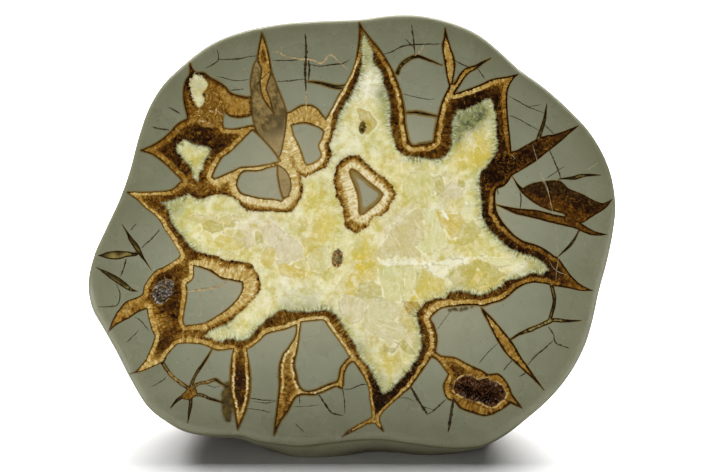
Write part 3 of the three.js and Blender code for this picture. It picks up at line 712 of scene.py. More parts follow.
def triangulate(rings, loose):
    """Triangles over the first ring's inside that keep to every ring, and which rings each triangle is in."""
    rings = [anticlockwise(ring) for ring in rings]
    points = np.concatenate([*rings, loose])
    starts = np.cumsum([0] + [len(ring) for ring in rings])
    faces = [list(range(a, b)) for a, b in zip(starts[:-1], starts[1:])]
    result = delaunay_2d_cdt([Vector(p) for p in points], [], faces, 0, 1e-5, True)
    inside = [(triangle, set(owners)) for triangle, owners in zip(result[2], result[5]) if 0 in owners]
    place_of = {number: k for k, given in enumerate(result[3]) for number in given}
    outline = [place_of[k] for k in range(len(rings[0]))]
    return np.array(result[0]), np.array([t for t, _ in inside]), [o for _, o in inside], np.array(outline)


class Pattern:
    """The face cut into triangles, each stone or filling, with what the materials need to know."""

    def __init__(self):
        rings = [stone_outline()]
        roles = ["stone"]
        for outline in OUTLINES:
            step = CALCITE_STEP if outline.role in ("calcite", "lining") else WALL_STEP
            rough = 0 if outline.role == "hollow" else WALL_ROUGHNESS
            rings.append(roughened(spline(outline.points, step), rough))
            roles.append(outline.role)
        for seam in SEAMS:
            rings.append(seam_outline(seam))
            roles.append("seam")
        walls = np.concatenate(rings[1:])
        for crystal in CRYSTALS:
            rings.append(roughened(spline(crystal.points, CRYSTAL_STEP, corner=0.0), CRYSTAL_ROUGHNESS))
            roles.append("crystal")
        loose = np.concatenate((rim_points(walls), grid_points(walls)))
        self.places, self.triangles, owners, self.outline = triangulate(rings, loose)
        self.label(roles, owners)
        self.measure()

    def label(self, roles, owners):
        """Marks what each triangle is made of."""
        rings = {role: [k for k, given in enumerate(roles) if given == role] for role in roles}
        held = {role: np.array([not own.isdisjoint(rings[role]) for own in owners]) for role in rings}
        self.grey = held["grey"] & ~held["band"]
        self.filling = (held["crack"] | held["seam"]) & ~held["island"] | held["grey"]
        self.seam = held["seam"] & ~held["crack"]
        self.calcite = held["calcite"] & ~held["lining"] & self.filling
        self.tangle = held["tangle"] & self.filling
        self.crystal = np.full(len(owners), -1)
        for number, ring in enumerate(rings["crystal"]):
            self.crystal[[ring in own for own in owners]] = number
        self.hollow = {name: np.array([ring in own for own in owners]) & self.filling
                       for name, ring in zip(HOLLOWS, rings["hollow"])}

    def border(self, kinds):
        """Edges between triangles of different kinds: pairs of points with the higher kind on their left."""
        edges = {}
        for number, triangle in enumerate(self.triangles):
            for a, b in zip(triangle, np.roll(triangle, -1)):
                edges[(a, b)] = number
        return [(a, b) for (a, b), number in edges.items()
                if (b, a) in edges and kinds[number] > kinds[edges[(b, a)]]]

    def sampled(self, edges):
        """Points along edges, close enough together to measure distances from."""
        ends = self.places[np.array(edges)]
        return np.concatenate([ends[:, 0] * (1 - s) + ends[:, 1] * s for s in SAMPLE_SHARES])

    def distance_to(self, edges):
        """How far each point is from the nearest of the edges."""
        return nearest(self.sampled(edges), self.places)[1]

    def measure(self):
        """Distances from the walls and from the calcite's edge, at each point."""
        self.wall_edges = self.border(self.filling.astype(int))
        walls = chain(self.border(self.filling.astype(int) + self.grey))
        steps = np.array([np.linalg.norm(self.places[b] - self.places[a]) for a, b in walls])
        lengths = np.concatenate([np.cumsum(steps) - steps * (1 - share) for share in SAMPLE_SHARES])
        samples = self.sampled(walls)
        number, self.wall = nearest(samples, self.places)
        direction = self.places - samples[number]
        on_wall = self.wall < 1e-4
        direction[on_wall] = self.into_filling()[on_wall]
        direction /= np.maximum(np.linalg.norm(direction, axis=1, keepdims=True), 1e-9)
        self.wall[on_wall] = 0
        self.fibre = np.column_stack((lengths[number], direction * FIBRE_FAN))
        distance = self.distance_to(self.border(self.calcite.astype(int)))
        in_calcite = np.zeros(len(self.places), bool)
        in_calcite[self.triangles[self.calcite]] = True
        self.edge = np.where(in_calcite, distance, -distance)
        self.cleft = self.distance_to(self.border(self.crystal))

    def into_filling(self):
        """At each point, the way towards the middles of the filled triangles round it."""
        way = np.zeros_like(self.places)
        filled = self.triangles[self.filling]
        middles = self.places[filled].mean(1)
        for corner in range(3):
            np.add.at(way, filled[:, corner], middles - self.places[filled[:, corner]])
        return way


def chain(edges):
    """The edges sorted so that each follows on from the one before where it can."""
    follow = {}
    for a, b in edges:
        follow.setdefault(a, []).append(b)
    ordered = []
    while follow:
        a = next(iter(follow))
        while a in follow:
            b = follow[a].pop()
            if not follow[a]:
                del follow[a]
            ordered.append((a, b))
            a = b
    return ordered


@cache
def pattern():
    return Pattern()


def spots(places, patches):
    """How strongly soft round patches cover each place."""
    total = np.zeros(len(places))
    for across, up, radius, strength in patches:
        total += strength * np.exp(-((places - (across, up)) ** 2).sum(1) / radius**2)
    return total


def blended(places, table):
    """The values of the table's entries after their place, blended from the nearest ones."""
    known = np.array(table)
    weight = 1 / (((places[:, None] - known[None, :, :2]) ** 2).sum(2) + BLEND_REACH**2) ** 2
    return (weight @ known[:, 2:]) / weight.sum(1, keepdims=True)


def distance_to_lip(name, places):
    """How far places are from the edge of an open hollow."""
    return nearest(spline(HOLLOWS[name], 0.3), places)[1]


def hollow_depth(name, places):
    """How far an open hollow goes down at each place that is inside it."""
    inside = distance_to_lip(name, places)
    full = HOLLOW_DEPTHS[name]
    bumps = np.array([noise.fractal(Vector((x * 0.35, y * 0.35, 5.0)), 0.7, 2.1, 4) for x, y in places])
    return full * (1 - np.exp(-inside / (HOLLOW_STEEPNESS * full))) * (1 + HOLLOW_UNEVENNESS * bumps)


# ------------------------------------------------------------------ meshes

def standing(across, up, out):
    """Points of the face's frame, in millimetres, where they are on the standing stone, in metres."""
    up = np.asarray(up) + FACE_ABOVE_GROUND
    x = np.asarray(across)
    y = up * math.sin(FACE_LEAN) - np.asarray(out) * math.cos(FACE_LEAN) - SETBACK
    z = up * math.cos(FACE_LEAN) + np.asarray(out) * math.sin(FACE_LEAN)
    return np.column_stack((x, y, z)) * MM


FACE_OUTWARDS = (0.0, -math.cos(FACE_LEAN), math.sin(FACE_LEAN))
FACE_TO_WORLD = Matrix((
    (1, 0, 0, 0),
    (0, math.sin(FACE_LEAN), -math.cos(FACE_LEAN), (FACE_ABOVE_GROUND * math.sin(FACE_LEAN) - SETBACK) * MM),
    (0, math.cos(FACE_LEAN), math.sin(FACE_LEAN), FACE_ABOVE_GROUND * math.cos(FACE_LEAN) * MM),
    (0, 0, 0, 1),
))


def new_mesh(name, points, faces, edges=()):
    mesh = bpy.data.meshes.new(name)
    mesh.from_pydata(np.asarray(points).tolist(), edges, [list(map(int, face)) for face in faces])
    return mesh


def write_values(mesh, domain, values, wide="vector"):
    """Stores named numbers, or named vectors or colours, at the mesh's points or on its faces."""
    kinds = {"value": "FLOAT", "vector": "FLOAT_VECTOR", "color": "FLOAT_COLOR"}
    for name, data in values.items():
        field = wide if np.ndim(data) == 2 else "value"
        attribute = mesh.attributes.new(name, kinds[field], domain)
        attribute.data.foreach_set(field, np.asarray(data, np.float32).ravel())


def stone_mesh(name, points, faces, material, values, face_values):
    """A mesh from points of the face's frame, with values at its points and on its faces."""
    mesh = new_mesh(name, standing(*points.T), faces)
    write_values(mesh, "POINT", values)
    write_values(mesh, "FACE", face_values, "color")
    mesh.validate()
    mesh.materials.append(material)
    return mesh


def new_object(name, data):
    """An object in the scene."""
    thing = bpy.data.objects.new(name, data)
    bpy.context.scene.collection.objects.link(thing)
    return thing


def add_piece(name, mesh):
    """Makes a finished mesh a piece of the nodule."""
    piece = new_object(name, mesh)
    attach(piece, "root")
    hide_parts("nodule")


def hollow_points(name):
    """Which points of the face are in an open hollow."""
    return np.unique(pattern().triangles[pattern().hollow[name]])


@cache
def levels():
    """How far in front of the zero plane each point of the face lies, and the floor of the fillings."""
    p = pattern()
    surface = -rim_setback(inset(p.places))
    floor = surface - POCKET_DEPTH
    for name in HOLLOWS:
        points = hollow_points(name)
        surface[points] -= hollow_depth(name, p.places[points])
        floor[points] = np.minimum(floor[points], surface[points] - HOLLOW_SHELL)
    return surface, floor


def back_ring(edges, behind_rim):
    """A ring of the back at a depth behind the rim, in the face's frame."""
    share = behind_rim / BACK_DEPTH
    scale = (1 - min(share, 1) ** FULLNESS) ** (1 / FULLNESS)
    spoke = edges - FACE_MIDDLE
    direction = np.arctan2(spoke[:, 1], spoke[:, 0])
    strength = min(behind_rim / SWELLING_STARTS, 1)
    strength = strength * strength * (3 - 2 * strength)
    swelling = sum(h * np.cos(lobes * direction + start + twist * behind_rim)
                   for lobes, h, start, twist in SWELLINGS)
    place = spoke * (scale * (1 + strength * swelling))[:, None]
    place += FACE_MIDDLE + DEEPEST_POINT_OFFSET * share**2
    underneath = np.maximum(0, -np.sin(direction)) ** 2
    onset = (1 - math.exp(-behind_rim / HEEL_ONSET)) * (1 + HEEL_DEEPENING * behind_rim)
    reach = sum(r * np.exp(-0.5 * ((place[:, 0] - across) / spread) ** 2) for across, r, spread in HEELS)
    place[:, 1] -= scale * reach * underneath * onset
    return np.column_stack((place, np.full(len(place), -RIM_SETBACK - behind_rim)))


def weathered(points, strength):
    """Points of the back with the shallow dents and swells of a ground rind."""
    middle = Vector((*FACE_MIDDLE, -0.3 * THICKNESS))
    (swell_size, swell_height), (dent_size, dent_depth) = RIND_SWELLS, RIND_DENTS
    out = []
    for point in points:
        place = Vector(point)
        swell = noise.fractal(place / swell_size, 0.9, 2.0, 4)
        dent = max(0.0, noise.noise(place / dent_size + Vector((7, 0, 0))) - 0.25)
        onset = min(1.0, (-point[2] - RIM_SETBACK) / RIND_ONSET)
        relief = strength * onset * (swell_height * swell - dent_depth * dent)
        out.append(place + (place - middle).normalized() * relief)
    return np.array(out)


def body_mesh(roughness):
    """Points, faces and values of the mudstone: its face, the pockets of the fillings and the back."""
    p = pattern()
    surface, floor = levels()
    count = len(p.places)
    top = np.column_stack((p.places, surface))
    bottom = np.column_stack((p.places, floor))
    faces = [tuple(t) for t in p.triangles[~p.filling]]
    faces += [tuple(t + count) for t in p.triangles[p.filling]]
    faces += [(a, b, b + count, a + count) for a, b in p.wall_edges]
    edges = p.places[p.outline]
    rings = [back_ring(edges, BACK_DEPTH * math.sin(share * math.pi / 2) ** (2 / FULLNESS))
             for share in (np.arange(1, BACK_RINGS) / BACK_RINGS) ** BACK_RING_BIAS]
    apex = np.array([[*(FACE_MIDDLE + DEEPEST_POINT_OFFSET), -THICKNESS]])
    back = weathered(np.concatenate([*rings, apex]), roughness)
    numbers = [p.outline] + [2 * count + AROUND * k + np.arange(AROUND) for k in range(BACK_RINGS - 1)]
    last = 2 * count + AROUND * (BACK_RINGS - 1)
    for inner, outer in zip(numbers, numbers[1:]):
        faces += zip(inner, outer, np.roll(outer, -1), np.roll(inner, -1))
    faces += [(last, b, a) for a, b in zip(numbers[-1], np.roll(numbers[-1], -1))]
    points = np.concatenate((top, bottom, back))
    inside = inset(p.places)
    halo = p.wall / blended(p.places, STAINS)[:, 0]
    values = {
        "polish": np.concatenate((np.clip(inside / POLISH_EDGE, 0, 1), np.ones(count), np.zeros(len(back)))),
        "halo": np.concatenate((halo, np.full(count + len(back), NO_STAIN))),
        "rim": np.concatenate((inside, inside, back[:, 2])),
        "smudge": np.concatenate((spots(p.places, SMUDGES), np.zeros(count + len(back)))),
    }
    return points, faces, values


def ground_flat(mesh):
    """Cuts the mesh off at the ground and closes it there."""
    cut = bmesh.new()
    cut.from_mesh(mesh)
    bmesh.ops.delete(cut, geom=[v for v in cut.verts if not v.link_faces], context="VERTS")
    bmesh.ops.bisect_plane(cut, geom=cut.verts[:] + cut.edges[:] + cut.faces[:], dist=1e-7,
                           plane_co=(0, 0, 0), plane_no=(0, 0, -1), clear_outer=True)
    rim = [e for e in cut.edges if e.is_boundary]
    filled = bmesh.ops.contextual_create(cut, geom=rim)
    bmesh.ops.triangulate(cut, faces=filled["faces"])
    bmesh.ops.recalc_face_normals(cut, faces=cut.faces[:])
    cut.to_mesh(mesh)
    cut.free()


def patches_of(triangles):
    """A number for each triangle that says which unbroken patch it is in, 0 for the largest."""
    parent = list(range(triangles.max() + 1))

    def root(k):
        while parent[k] != k:
            parent[k] = parent[parent[k]]
            k = parent[k]
        return k

    for a, b, c in triangles:
        parent[root(a)] = root(b)
        parent[root(b)] = root(c)
    roots = np.array([root(a) for a in triangles[:, 0]])
    kinds, sizes = np.unique(roots, return_counts=True)
    rank = {kind: k for k, kind in enumerate(kinds[np.argsort(-sizes)])}
    return np.array([rank[k] for k in roots])


def filling_mesh(chosen):
    """Points, faces and values of the filling over the chosen triangles, as closed slabs."""
    p = pattern()
    surface, floor = levels()
    numbers, flat = np.unique(p.triangles[chosen], return_inverse=True)
    triangles = flat.reshape(-1, 3)
    count = len(numbers)
    places = p.places[numbers]
    points = np.concatenate([np.column_stack((places, heights[numbers])) for heights in (surface, floor)])
    new = dict(zip(numbers, range(count)))
    faces = [tuple(t) for t in triangles] + [tuple(t[::-1] + count) for t in triangles]
    faces += [(new[b], new[a], new[a] + count, new[b] + count)
              for a, b in p.wall_edges if a in new and b in new]
    hollow = np.zeros(len(p.places))
    for name in HOLLOWS:
        hollow[hollow_points(name)] = HOLLOW_SHADES[name]
    values = {name: getattr(p, name)[numbers] for name in ("wall", "edge", "fibre", "cleft")}
    values |= dict(zip(("rind", "band", "dark", "pale", "core"), blended(places, LININGS).T))
    values |= {name: spots(places, patches) for name, patches in PATCHES.items()}
    for name in ("grey", "tangle", "seam"):
        mark = np.zeros(len(p.places))
        mark[np.unique(p.triangles[getattr(p, name)])] = 1
        values[name] = mark[numbers]
    values["hollow"] = hollow[numbers]
    values["lip"] = np.where(hollow[numbers] > 0, -1, 1) * distance_to_lip("pocket", places)
    tints = np.array([(*paint(TINTS[c.tint])[:3], c.strength) for c in CRYSTALS] + [(0, 0, 0, 0)])
    lays = np.radians([c.lay for c in CRYSTALS] + [0])
    own = np.concatenate((p.crystal[chosen], np.full(len(faces) - len(triangles), -1)))
    face_values = {"crystal": tints[own], "lay": lays[own]}
    return points, faces, {key: np.concatenate((data, data)) for key, data in values.items()}, face_values


# ------------------------------------------------------------------ node trees

def paint(code):
    """Six hexadecimal digits as linear red, green, blue and alpha. Anything else stays as it is."""
    if not isinstance(code, str):
        return code
    parts = [int(code[k:k + 2], 16) / 255 for k in (0, 2, 4)]
    return (*(p / 12.92 if p <= 0.04045 else ((p + 0.055) / 1.055) ** 2.4 for p in parts), 1.0)


def blend(one, other, share):
    """A fixed colour between two fixed ones."""
    return tuple(a + (b - a) * share for a, b in zip(one, other))


class Term:
    """A node's output, which can be added, subtracted and multiplied like a number."""

    def __init__(self, graph, socket):
        self.graph = graph
        self.socket = socket

    def __add__(self, other):
        return self.graph.math("ADD", self, other)

    def __sub__(self, other):
        return self.graph.math("SUBTRACT", self, other)

    def __rsub__(self, other):
        return self.graph.math("SUBTRACT", other, self)

    def __mul__(self, other):
        return self.graph.math("MULTIPLY", self, other)

    def held(self):
        """The same sum or product, kept between 0 and 1."""
        self.socket.node.use_clamp = True
        return self

    def swing(self, reach):
        """A term that varies round 0.5 as one that varies round 0, with another reach."""
        return (self - 0.5) * reach

    def between(self, low, high, start=0, end=1):
        """Goes smoothly from start to end while the term goes from low to high."""
        return self.graph.out("ShaderNodeMapRange", {
            "Value": self, "From Min": low, "From Max": high, "To Min": start, "To Max": end},
            "Result", interpolation_type="SMOOTHSTEP")


class Graph:
    """Builds a node tree. Most methods add one node and return its output, to be fed into the next."""

    def __init__(self, tree):
        self.tree = tree

    def add(self, kind, inputs, **settings):
        node = self.tree.nodes.new(kind)
        for name, value in settings.items():
            setattr(node, name, value)
        for key, value in inputs.items():
            if isinstance(value, Term):
                self.tree.links.new(value.socket, node.inputs[key])
            elif value is not None:
                node.inputs[key].default_value = value
        return node

    def out(self, kind, inputs, output=0, **settings):
        return Term(self, self.add(kind, inputs, **settings).outputs[output])

    def outs(self, kind, inputs, **settings):
        return {socket.name: Term(self, socket) for socket in self.add(kind, inputs, **settings).outputs}

    def math(self, operation, a, b=None):
        return self.out("ShaderNodeMath", {0: a, 1: b}, operation=operation)

    def vector(self, operation, a, b=None, scale=None):
        return self.out("ShaderNodeVectorMath", {0: a, 1: b, "Scale": scale}, operation=operation)

    def lerp(self, factor, a, b):
        return self.out("ShaderNodeMix", {0: factor, 2: a, 3: b})

    def mix(self, factor, a, b, kind="MIX"):
        inputs = {0: factor, 6: paint(a), 7: paint(b)}
        return self.out("ShaderNodeMix", inputs, 2, data_type="RGBA", blend_type=kind)

    def layers(self, colour, *coats):
        """The colour with others laid over it in turn, each with its share and perhaps a way to blend."""
        for share, *coat in coats:
            colour = self.mix(share, colour, *coat)
        return colour

    def ramp(self, factor, stops):
        node = self.add("ShaderNodeValToRGB", {0: factor})
        marks = node.color_ramp.elements
        while len(marks) < len(stops):
            marks.new(0.5)
        for mark, (position, colour) in zip(marks, stops):
            mark.position = position
            mark.color = paint(colour)
        return Term(self, node.outputs[0])

    def noise(self, place, size, detail=3.0, rough=0.55, warp=0.0, fourth=None):
        inputs = {
            "Vector": place, "Scale": 1 / size, "Detail": detail, "Roughness": rough, "Distortion": warp}
        if fourth is None:
            return self.out("ShaderNodeTexNoise", inputs)
        return self.out("ShaderNodeTexNoise", inputs | {"W": fourth}, noise_dimensions="4D")

    def wandered(self, place, scale, detail, reach):
        """The place moved about by slow noise."""
        drift = self.out("ShaderNodeTexNoise", {"Vector": place, "Scale": scale, "Detail": detail}, "Color")
        return self.vector("ADD", place, self.vector("SCALE", drift, scale=reach))

    def cells(self, place, size, feature="F1"):
        inputs = {"Vector": place, "Scale": 1 / size}
        return self.out("ShaderNodeTexVoronoi", inputs, "Distance", feature=feature)

    def value(self, name, output="Fac"):
        return self.out("ShaderNodeAttribute", {}, output, attribute_name=name)

    def place(self):
        """Where a point is on the stone, in millimetres."""
        return self.vector("SCALE", self.out("ShaderNodeTexCoord", {}, "Object"), scale=1 / MM)

    def bump(self, height, strength, distance):
        return self.out("ShaderNodeBump", {"Height": height, "Strength": strength, "Distance": distance})

    def group(self, tree, **inputs):
        inputs = {name.capitalize(): value for name, value in inputs.items()}
        return self.outs("ShaderNodeGroup", inputs, node_tree=tree)


FLOAT, COLOUR, VECTOR = "NodeSocketFloat", "NodeSocketColor", "NodeSocketVector"


def shared_effect(name, inputs, outputs, build):
    """A shader node group. build gets its graph and its inputs by name, and returns its outputs by name."""
    tree = bpy.data.node_groups.new(name, "ShaderNodeTree")
    for way, labels in (("INPUT", inputs), ("OUTPUT", outputs)):
        for label in labels.split():
            kind = {"Place": VECTOR, "Fibre": VECTOR, "Colour": COLOUR}.get(label, FLOAT)
            tree.interface.new_socket(label, in_out=way, socket_type=kind)
    graph = Graph(tree)
    graph.add("NodeGroupOutput", build(graph, graph.outs("NodeGroupInput", {})))
    return tree


@cache
def fine_grain():
    """Speckle of a fine-grained rock: a tint that varies round 0.5, sparse specks, and a height."""
    def build(g, given):
        place = given["Place"]
        fine = g.noise(place, 0.9, 3, 0.7)
        dark = g.cells(place, 2.2).between(0.10, 0.17, 1, 0)
        some = g.noise(place, 6, 1).between(0.56, 0.64)
        tint = g.noise(place, 14, 4, 0.6) * 0.55 + fine * 0.45
        return {"Tint": tint, "Specks": dark * some, "Height": fine}

    return shared_effect("Fine grain", "Place", "Tint Specks Height", build)


@cache
def hand_polish():
    """Polish that isn't even: hazier patches and faint scratches."""
    def build(g, given):
        haze = g.noise(given["Place"], 30, 3, 0.6)
        turned = g.out("ShaderNodeMapping", {
            "Vector": given["Place"], "Rotation": (0.3, 0.9, 0.5), "Scale": (0.04, 1.0, 1.6)})
        scratches = g.noise(turned, 0.6, 2, 0.5).between(0.68, 0.76)
        rough = given["Roughness"] + haze.swing(0.12) + scratches * 0.06
        return {"Roughness": rough.held(), "Height": scratches}

    return shared_effect("Hand polish", "Place Roughness", "Roughness Height", build)


@cache
def fibres():
    """Fibres square to the nearest wall: fine ones, teeth, and a slow pattern that makes edges uneven."""
    def build(g, given):
        def along(size, stretch):
            grain = g.noise(given["Fibre"], size, 2, 0.6, fourth=given["Depth"] * stretch)
            return (grain.swing(2.6) + 0.5).held()
        return {"Fine": along(0.5, 0.22), "Teeth": along(1.2, 0.16), "Broad": along(3.0, 0.12)}

    return shared_effect("Fibres", "Fibre Depth", "Fine Teeth Broad", build)


def new_material(name):
    material = bpy.data.materials.new(name)
    material.use_nodes = True
    material.node_tree.nodes.clear()
    return material, Graph(material.node_tree)


def finish_material(g, colour, roughness, normal=None, specular=0.5):
    """The shader and the output of a material."""
    shader = g.out("ShaderNodeBsdfPrincipled", {
        "Base Color": colour, "Roughness": roughness, "Normal": normal, "Specular IOR Level": specular})
    g.add("ShaderNodeOutputMaterial", {"Surface": shader})


def mudstone_material(colours):
    """Polished on the face, ground matt on the back and stained along the cracks, with painted shade darker
    near the rim and a painted pool of light paler in the middle.
    """
    material, g = new_material("mudstone")
    place = g.place()
    grain = g.group(fine_grain(), place=place)
    polish = g.value("polish")
    # Painted light: the face's colour is darker towards its outline (painted shade) and paler in the middle
    # (a painted pool of light); on the back this ramp gives the rim colour.
    inwards = g.value("rim") + g.noise(place, 26, 3).swing(10)
    clay_and_painted_light = g.ramp(inwards * 0.01, [
        (0, colours.rim), (0.10, blend(colours.rim, colours.mudstone, 0.25)), (0.45, colours.mudstone),
        (0.75, colours.painted_light_middle), (1, colours.painted_light_middle)])
    ragged = g.noise(place, 2.6, 3).swing(0.7) + g.noise(place, 0.8, 2, 0.7).swing(0.4)
    halo = g.value("halo") + ragged
    smudge = g.value("smudge") * g.noise(place, 3.5, 4, 0.65).between(0.34, 0.58, 0.6, 1.15)
    film = g.mix(g.noise(place, 2.8, 4, 0.7).between(0.40, 0.60), "382802", "5e4c18")
    clay_and_painted_light = g.layers(  # grain, stain beside the cracks, dull films, specks
        clay_and_painted_light,
        (grain["Tint"].between(0.35, 0.65, 0, 0.045), "f0f0d8"),
        (halo.between(0.86, 1.10, 1, 0), colours.stain, "MULTIPLY"),
        (halo.between(0.15, 0.70, 0.9, 0), "c8a878", "MULTIPLY"),
        (smudge.between(0.22, 0.80, 0, 0.94), film),
        (grain["Specks"] * 0.6, "35321f"),
        (g.cells(place, 7.5).between(0.035, 0.05, 0.5, 0) * polish, "b5b49c"),
    )
    # The back: brown seams, pits of two sizes with painted shade inside them, an ochre rind.
    veins = g.cells(g.wandered(place, 0.05, 4.0, 26), 62, "DISTANCE_TO_EDGE")
    seam = veins.between(0.004, 0.014, 1, 0) * g.noise(place, 18, 2).between(0.42, 0.56)
    jagged = g.wandered(place, 0.9, 2.0, 2.2)
    few, many = (g.noise(place, size, 3, 0.6) for size in (17, 9))
    small_pits = (g.cells(jagged, 3.1) + many.between(0.36, 0.60, 0.22, 0)).between(0.08, 0.28)
    large_pits = (g.cells(jagged, 9) + few.between(0.40, 0.60, 0.20, 0)).between(0.07, 0.21)
    pits = small_pits * large_pits
    sawn = g.value("rim").between(-16, -6)
    rind = g.layers(
        clay_and_painted_light,
        (g.noise(place, 40, 5, 0.65).between(0.45, 0.72, 0, 0.5), colours.rind),
        (1, "b8aa9a", "MULTIPLY"),
        (grain["Tint"].between(0.35, 0.65, 0.5, 0), "45402f"),
        (g.noise(place, 9, 5, 0.75, warp=0.6).between(0.42, 0.64, 0, 0.4), "5c5444"),
        (seam * 0.9, "2c1c0c"),
        # Painted shade: the pits are darkened, except close to the face's edge.
        (1 - g.math("MAXIMUM", pits, sawn), "3c3a2e", "MULTIPLY"),
    )
    # The edge between face and back.
    above_ground = g.out("ShaderNodeSeparateXYZ", {0: place}, 2)
    arris = polish * (1 - polish) * 4 * above_ground.between(14, 24, 0.75, 0.2)
    surface = g.layers(rind, (sawn * 0.85, clay_and_painted_light), (polish, clay_and_painted_light), (arris, "3f3e2c"))
    sheen = g.group(hand_polish(), place=place, roughness=0.28)
    roughness = g.lerp(polish, grain["Tint"].between(0.3, 0.7, 0.72, 0.9), sheen["Roughness"])
    height = (grain["Height"] * 0.35 + g.noise(place, 5, 5, 0.62)) * 0.6 + pits * 0.35 - seam * 0.4
    bumps = height * (1 - polish) + sheen["Height"] * polish * 0.006
    finish_material(g, surface, roughness, g.bump(bumps, 0.6, 0.0007), specular=0.3)
    return material


LINING_SHADES = [
    (0.00, "190b03"), (0.06, "321d08"), (0.15, "51340b"), (0.24, "684713"), (0.42, "8a6828"),
    (0.60, "aa8b48"), (0.72, "bfa35f"), (0.86, "d1be82"), (0.93, "dacc9f"), (1.00, "e6dbb8"),
]


@cache
def lining_bands():
    """The aragonite lining by distance from the wall: a dark rind, a pale band and a core, all fibrous."""
    def build(g, given):
        place, core = given["Place"], given["Core"]
        fine, teeth, broad = (given[name] - 0.5 for name in ("Fine", "Teeth", "Broad"))
        sway = broad * 1.3 + teeth * 0.9 + fine * 0.6
        depth = sway * given["Depth"].between(0.1, 2.2, 0.18, 1) + given["Depth"]
        into_band = depth - given["Rind"]
        into_core = into_band - given["Band"]
        settled = core * into_core.between(0.4, 2.6, 1.3, 0.9)
        shade = g.lerp(into_band.between(-0.12, 0.12), given["Dark"], given["Pale"])
        shade = g.lerp(into_core.between(-0.15, 0.2), shade, settled)
        shade = shade - (fine * 0.4 + given["Depth"]).between(0.15, 0.65, 0.24, 0)
        lively = into_core.between(-0.6, 0.6, 0.55, 1)
        shade = (fine * 1.1 + teeth) * lively * 0.44 * shade.between(0, 0.5, 0.14, 1) + shade
        near_edge = (broad * 1.2 + given["Edge"]).between(-2.6, -0.8)
        shade = shade - near_edge * core.between(0.2, 0.4) * given["Teeth"].between(0.30, 0.70, 0, 0.5)
        specks = g.cells(place, 0.95).between(0.25, 0.40, 1, 0) * given["Broad"].between(0.25, 0.75, 0.3, 1)
        shade = shade - specks * shade.between(0.35, 0.7) * into_core.between(-0.4, 0.6, 0.1, 0.45)
        blotch = (teeth + broad) * 0.16 + g.noise(place, 2.0, 3, 0.65).swing(0.8)
        shade = blotch * lively * shade.between(0.02, 0.35, 0.4, 1.4) + shade
        threads = g.math("ABSOLUTE", g.noise(place, 4.5, 2, 0.6, warp=1.2) - 0.5).between(0.004, 0.022, 1, 0)
        some = g.noise(place, 9.0, 1).between(0.44, 0.54) * shade.between(0.62, 0.4)
        shade = threads * depth.between(0.8, 1.6) * some * 0.3 + shade
        flecks = g.cells(place, 1.5).between(0.14, 0.26, 1, 0) * given["Teeth"].between(0.50, 0.80)
        shade = flecks * shade.between(0.35, 0.10) * 0.4 + shade
        warmth = g.noise(place, 2.4, 3).between(0.40, 0.60, 0, 0.8) * shade.between(0.85, 0.50)
        return {"Colour": g.mix(warmth, g.ramp(shade, LINING_SHADES), "f8e2a8", "MULTIPLY")}

    inputs = "Depth Edge Rind Band Dark Pale Core Fine Teeth Broad Place"
    return shared_effect("Lining bands", inputs, "Colour", build)


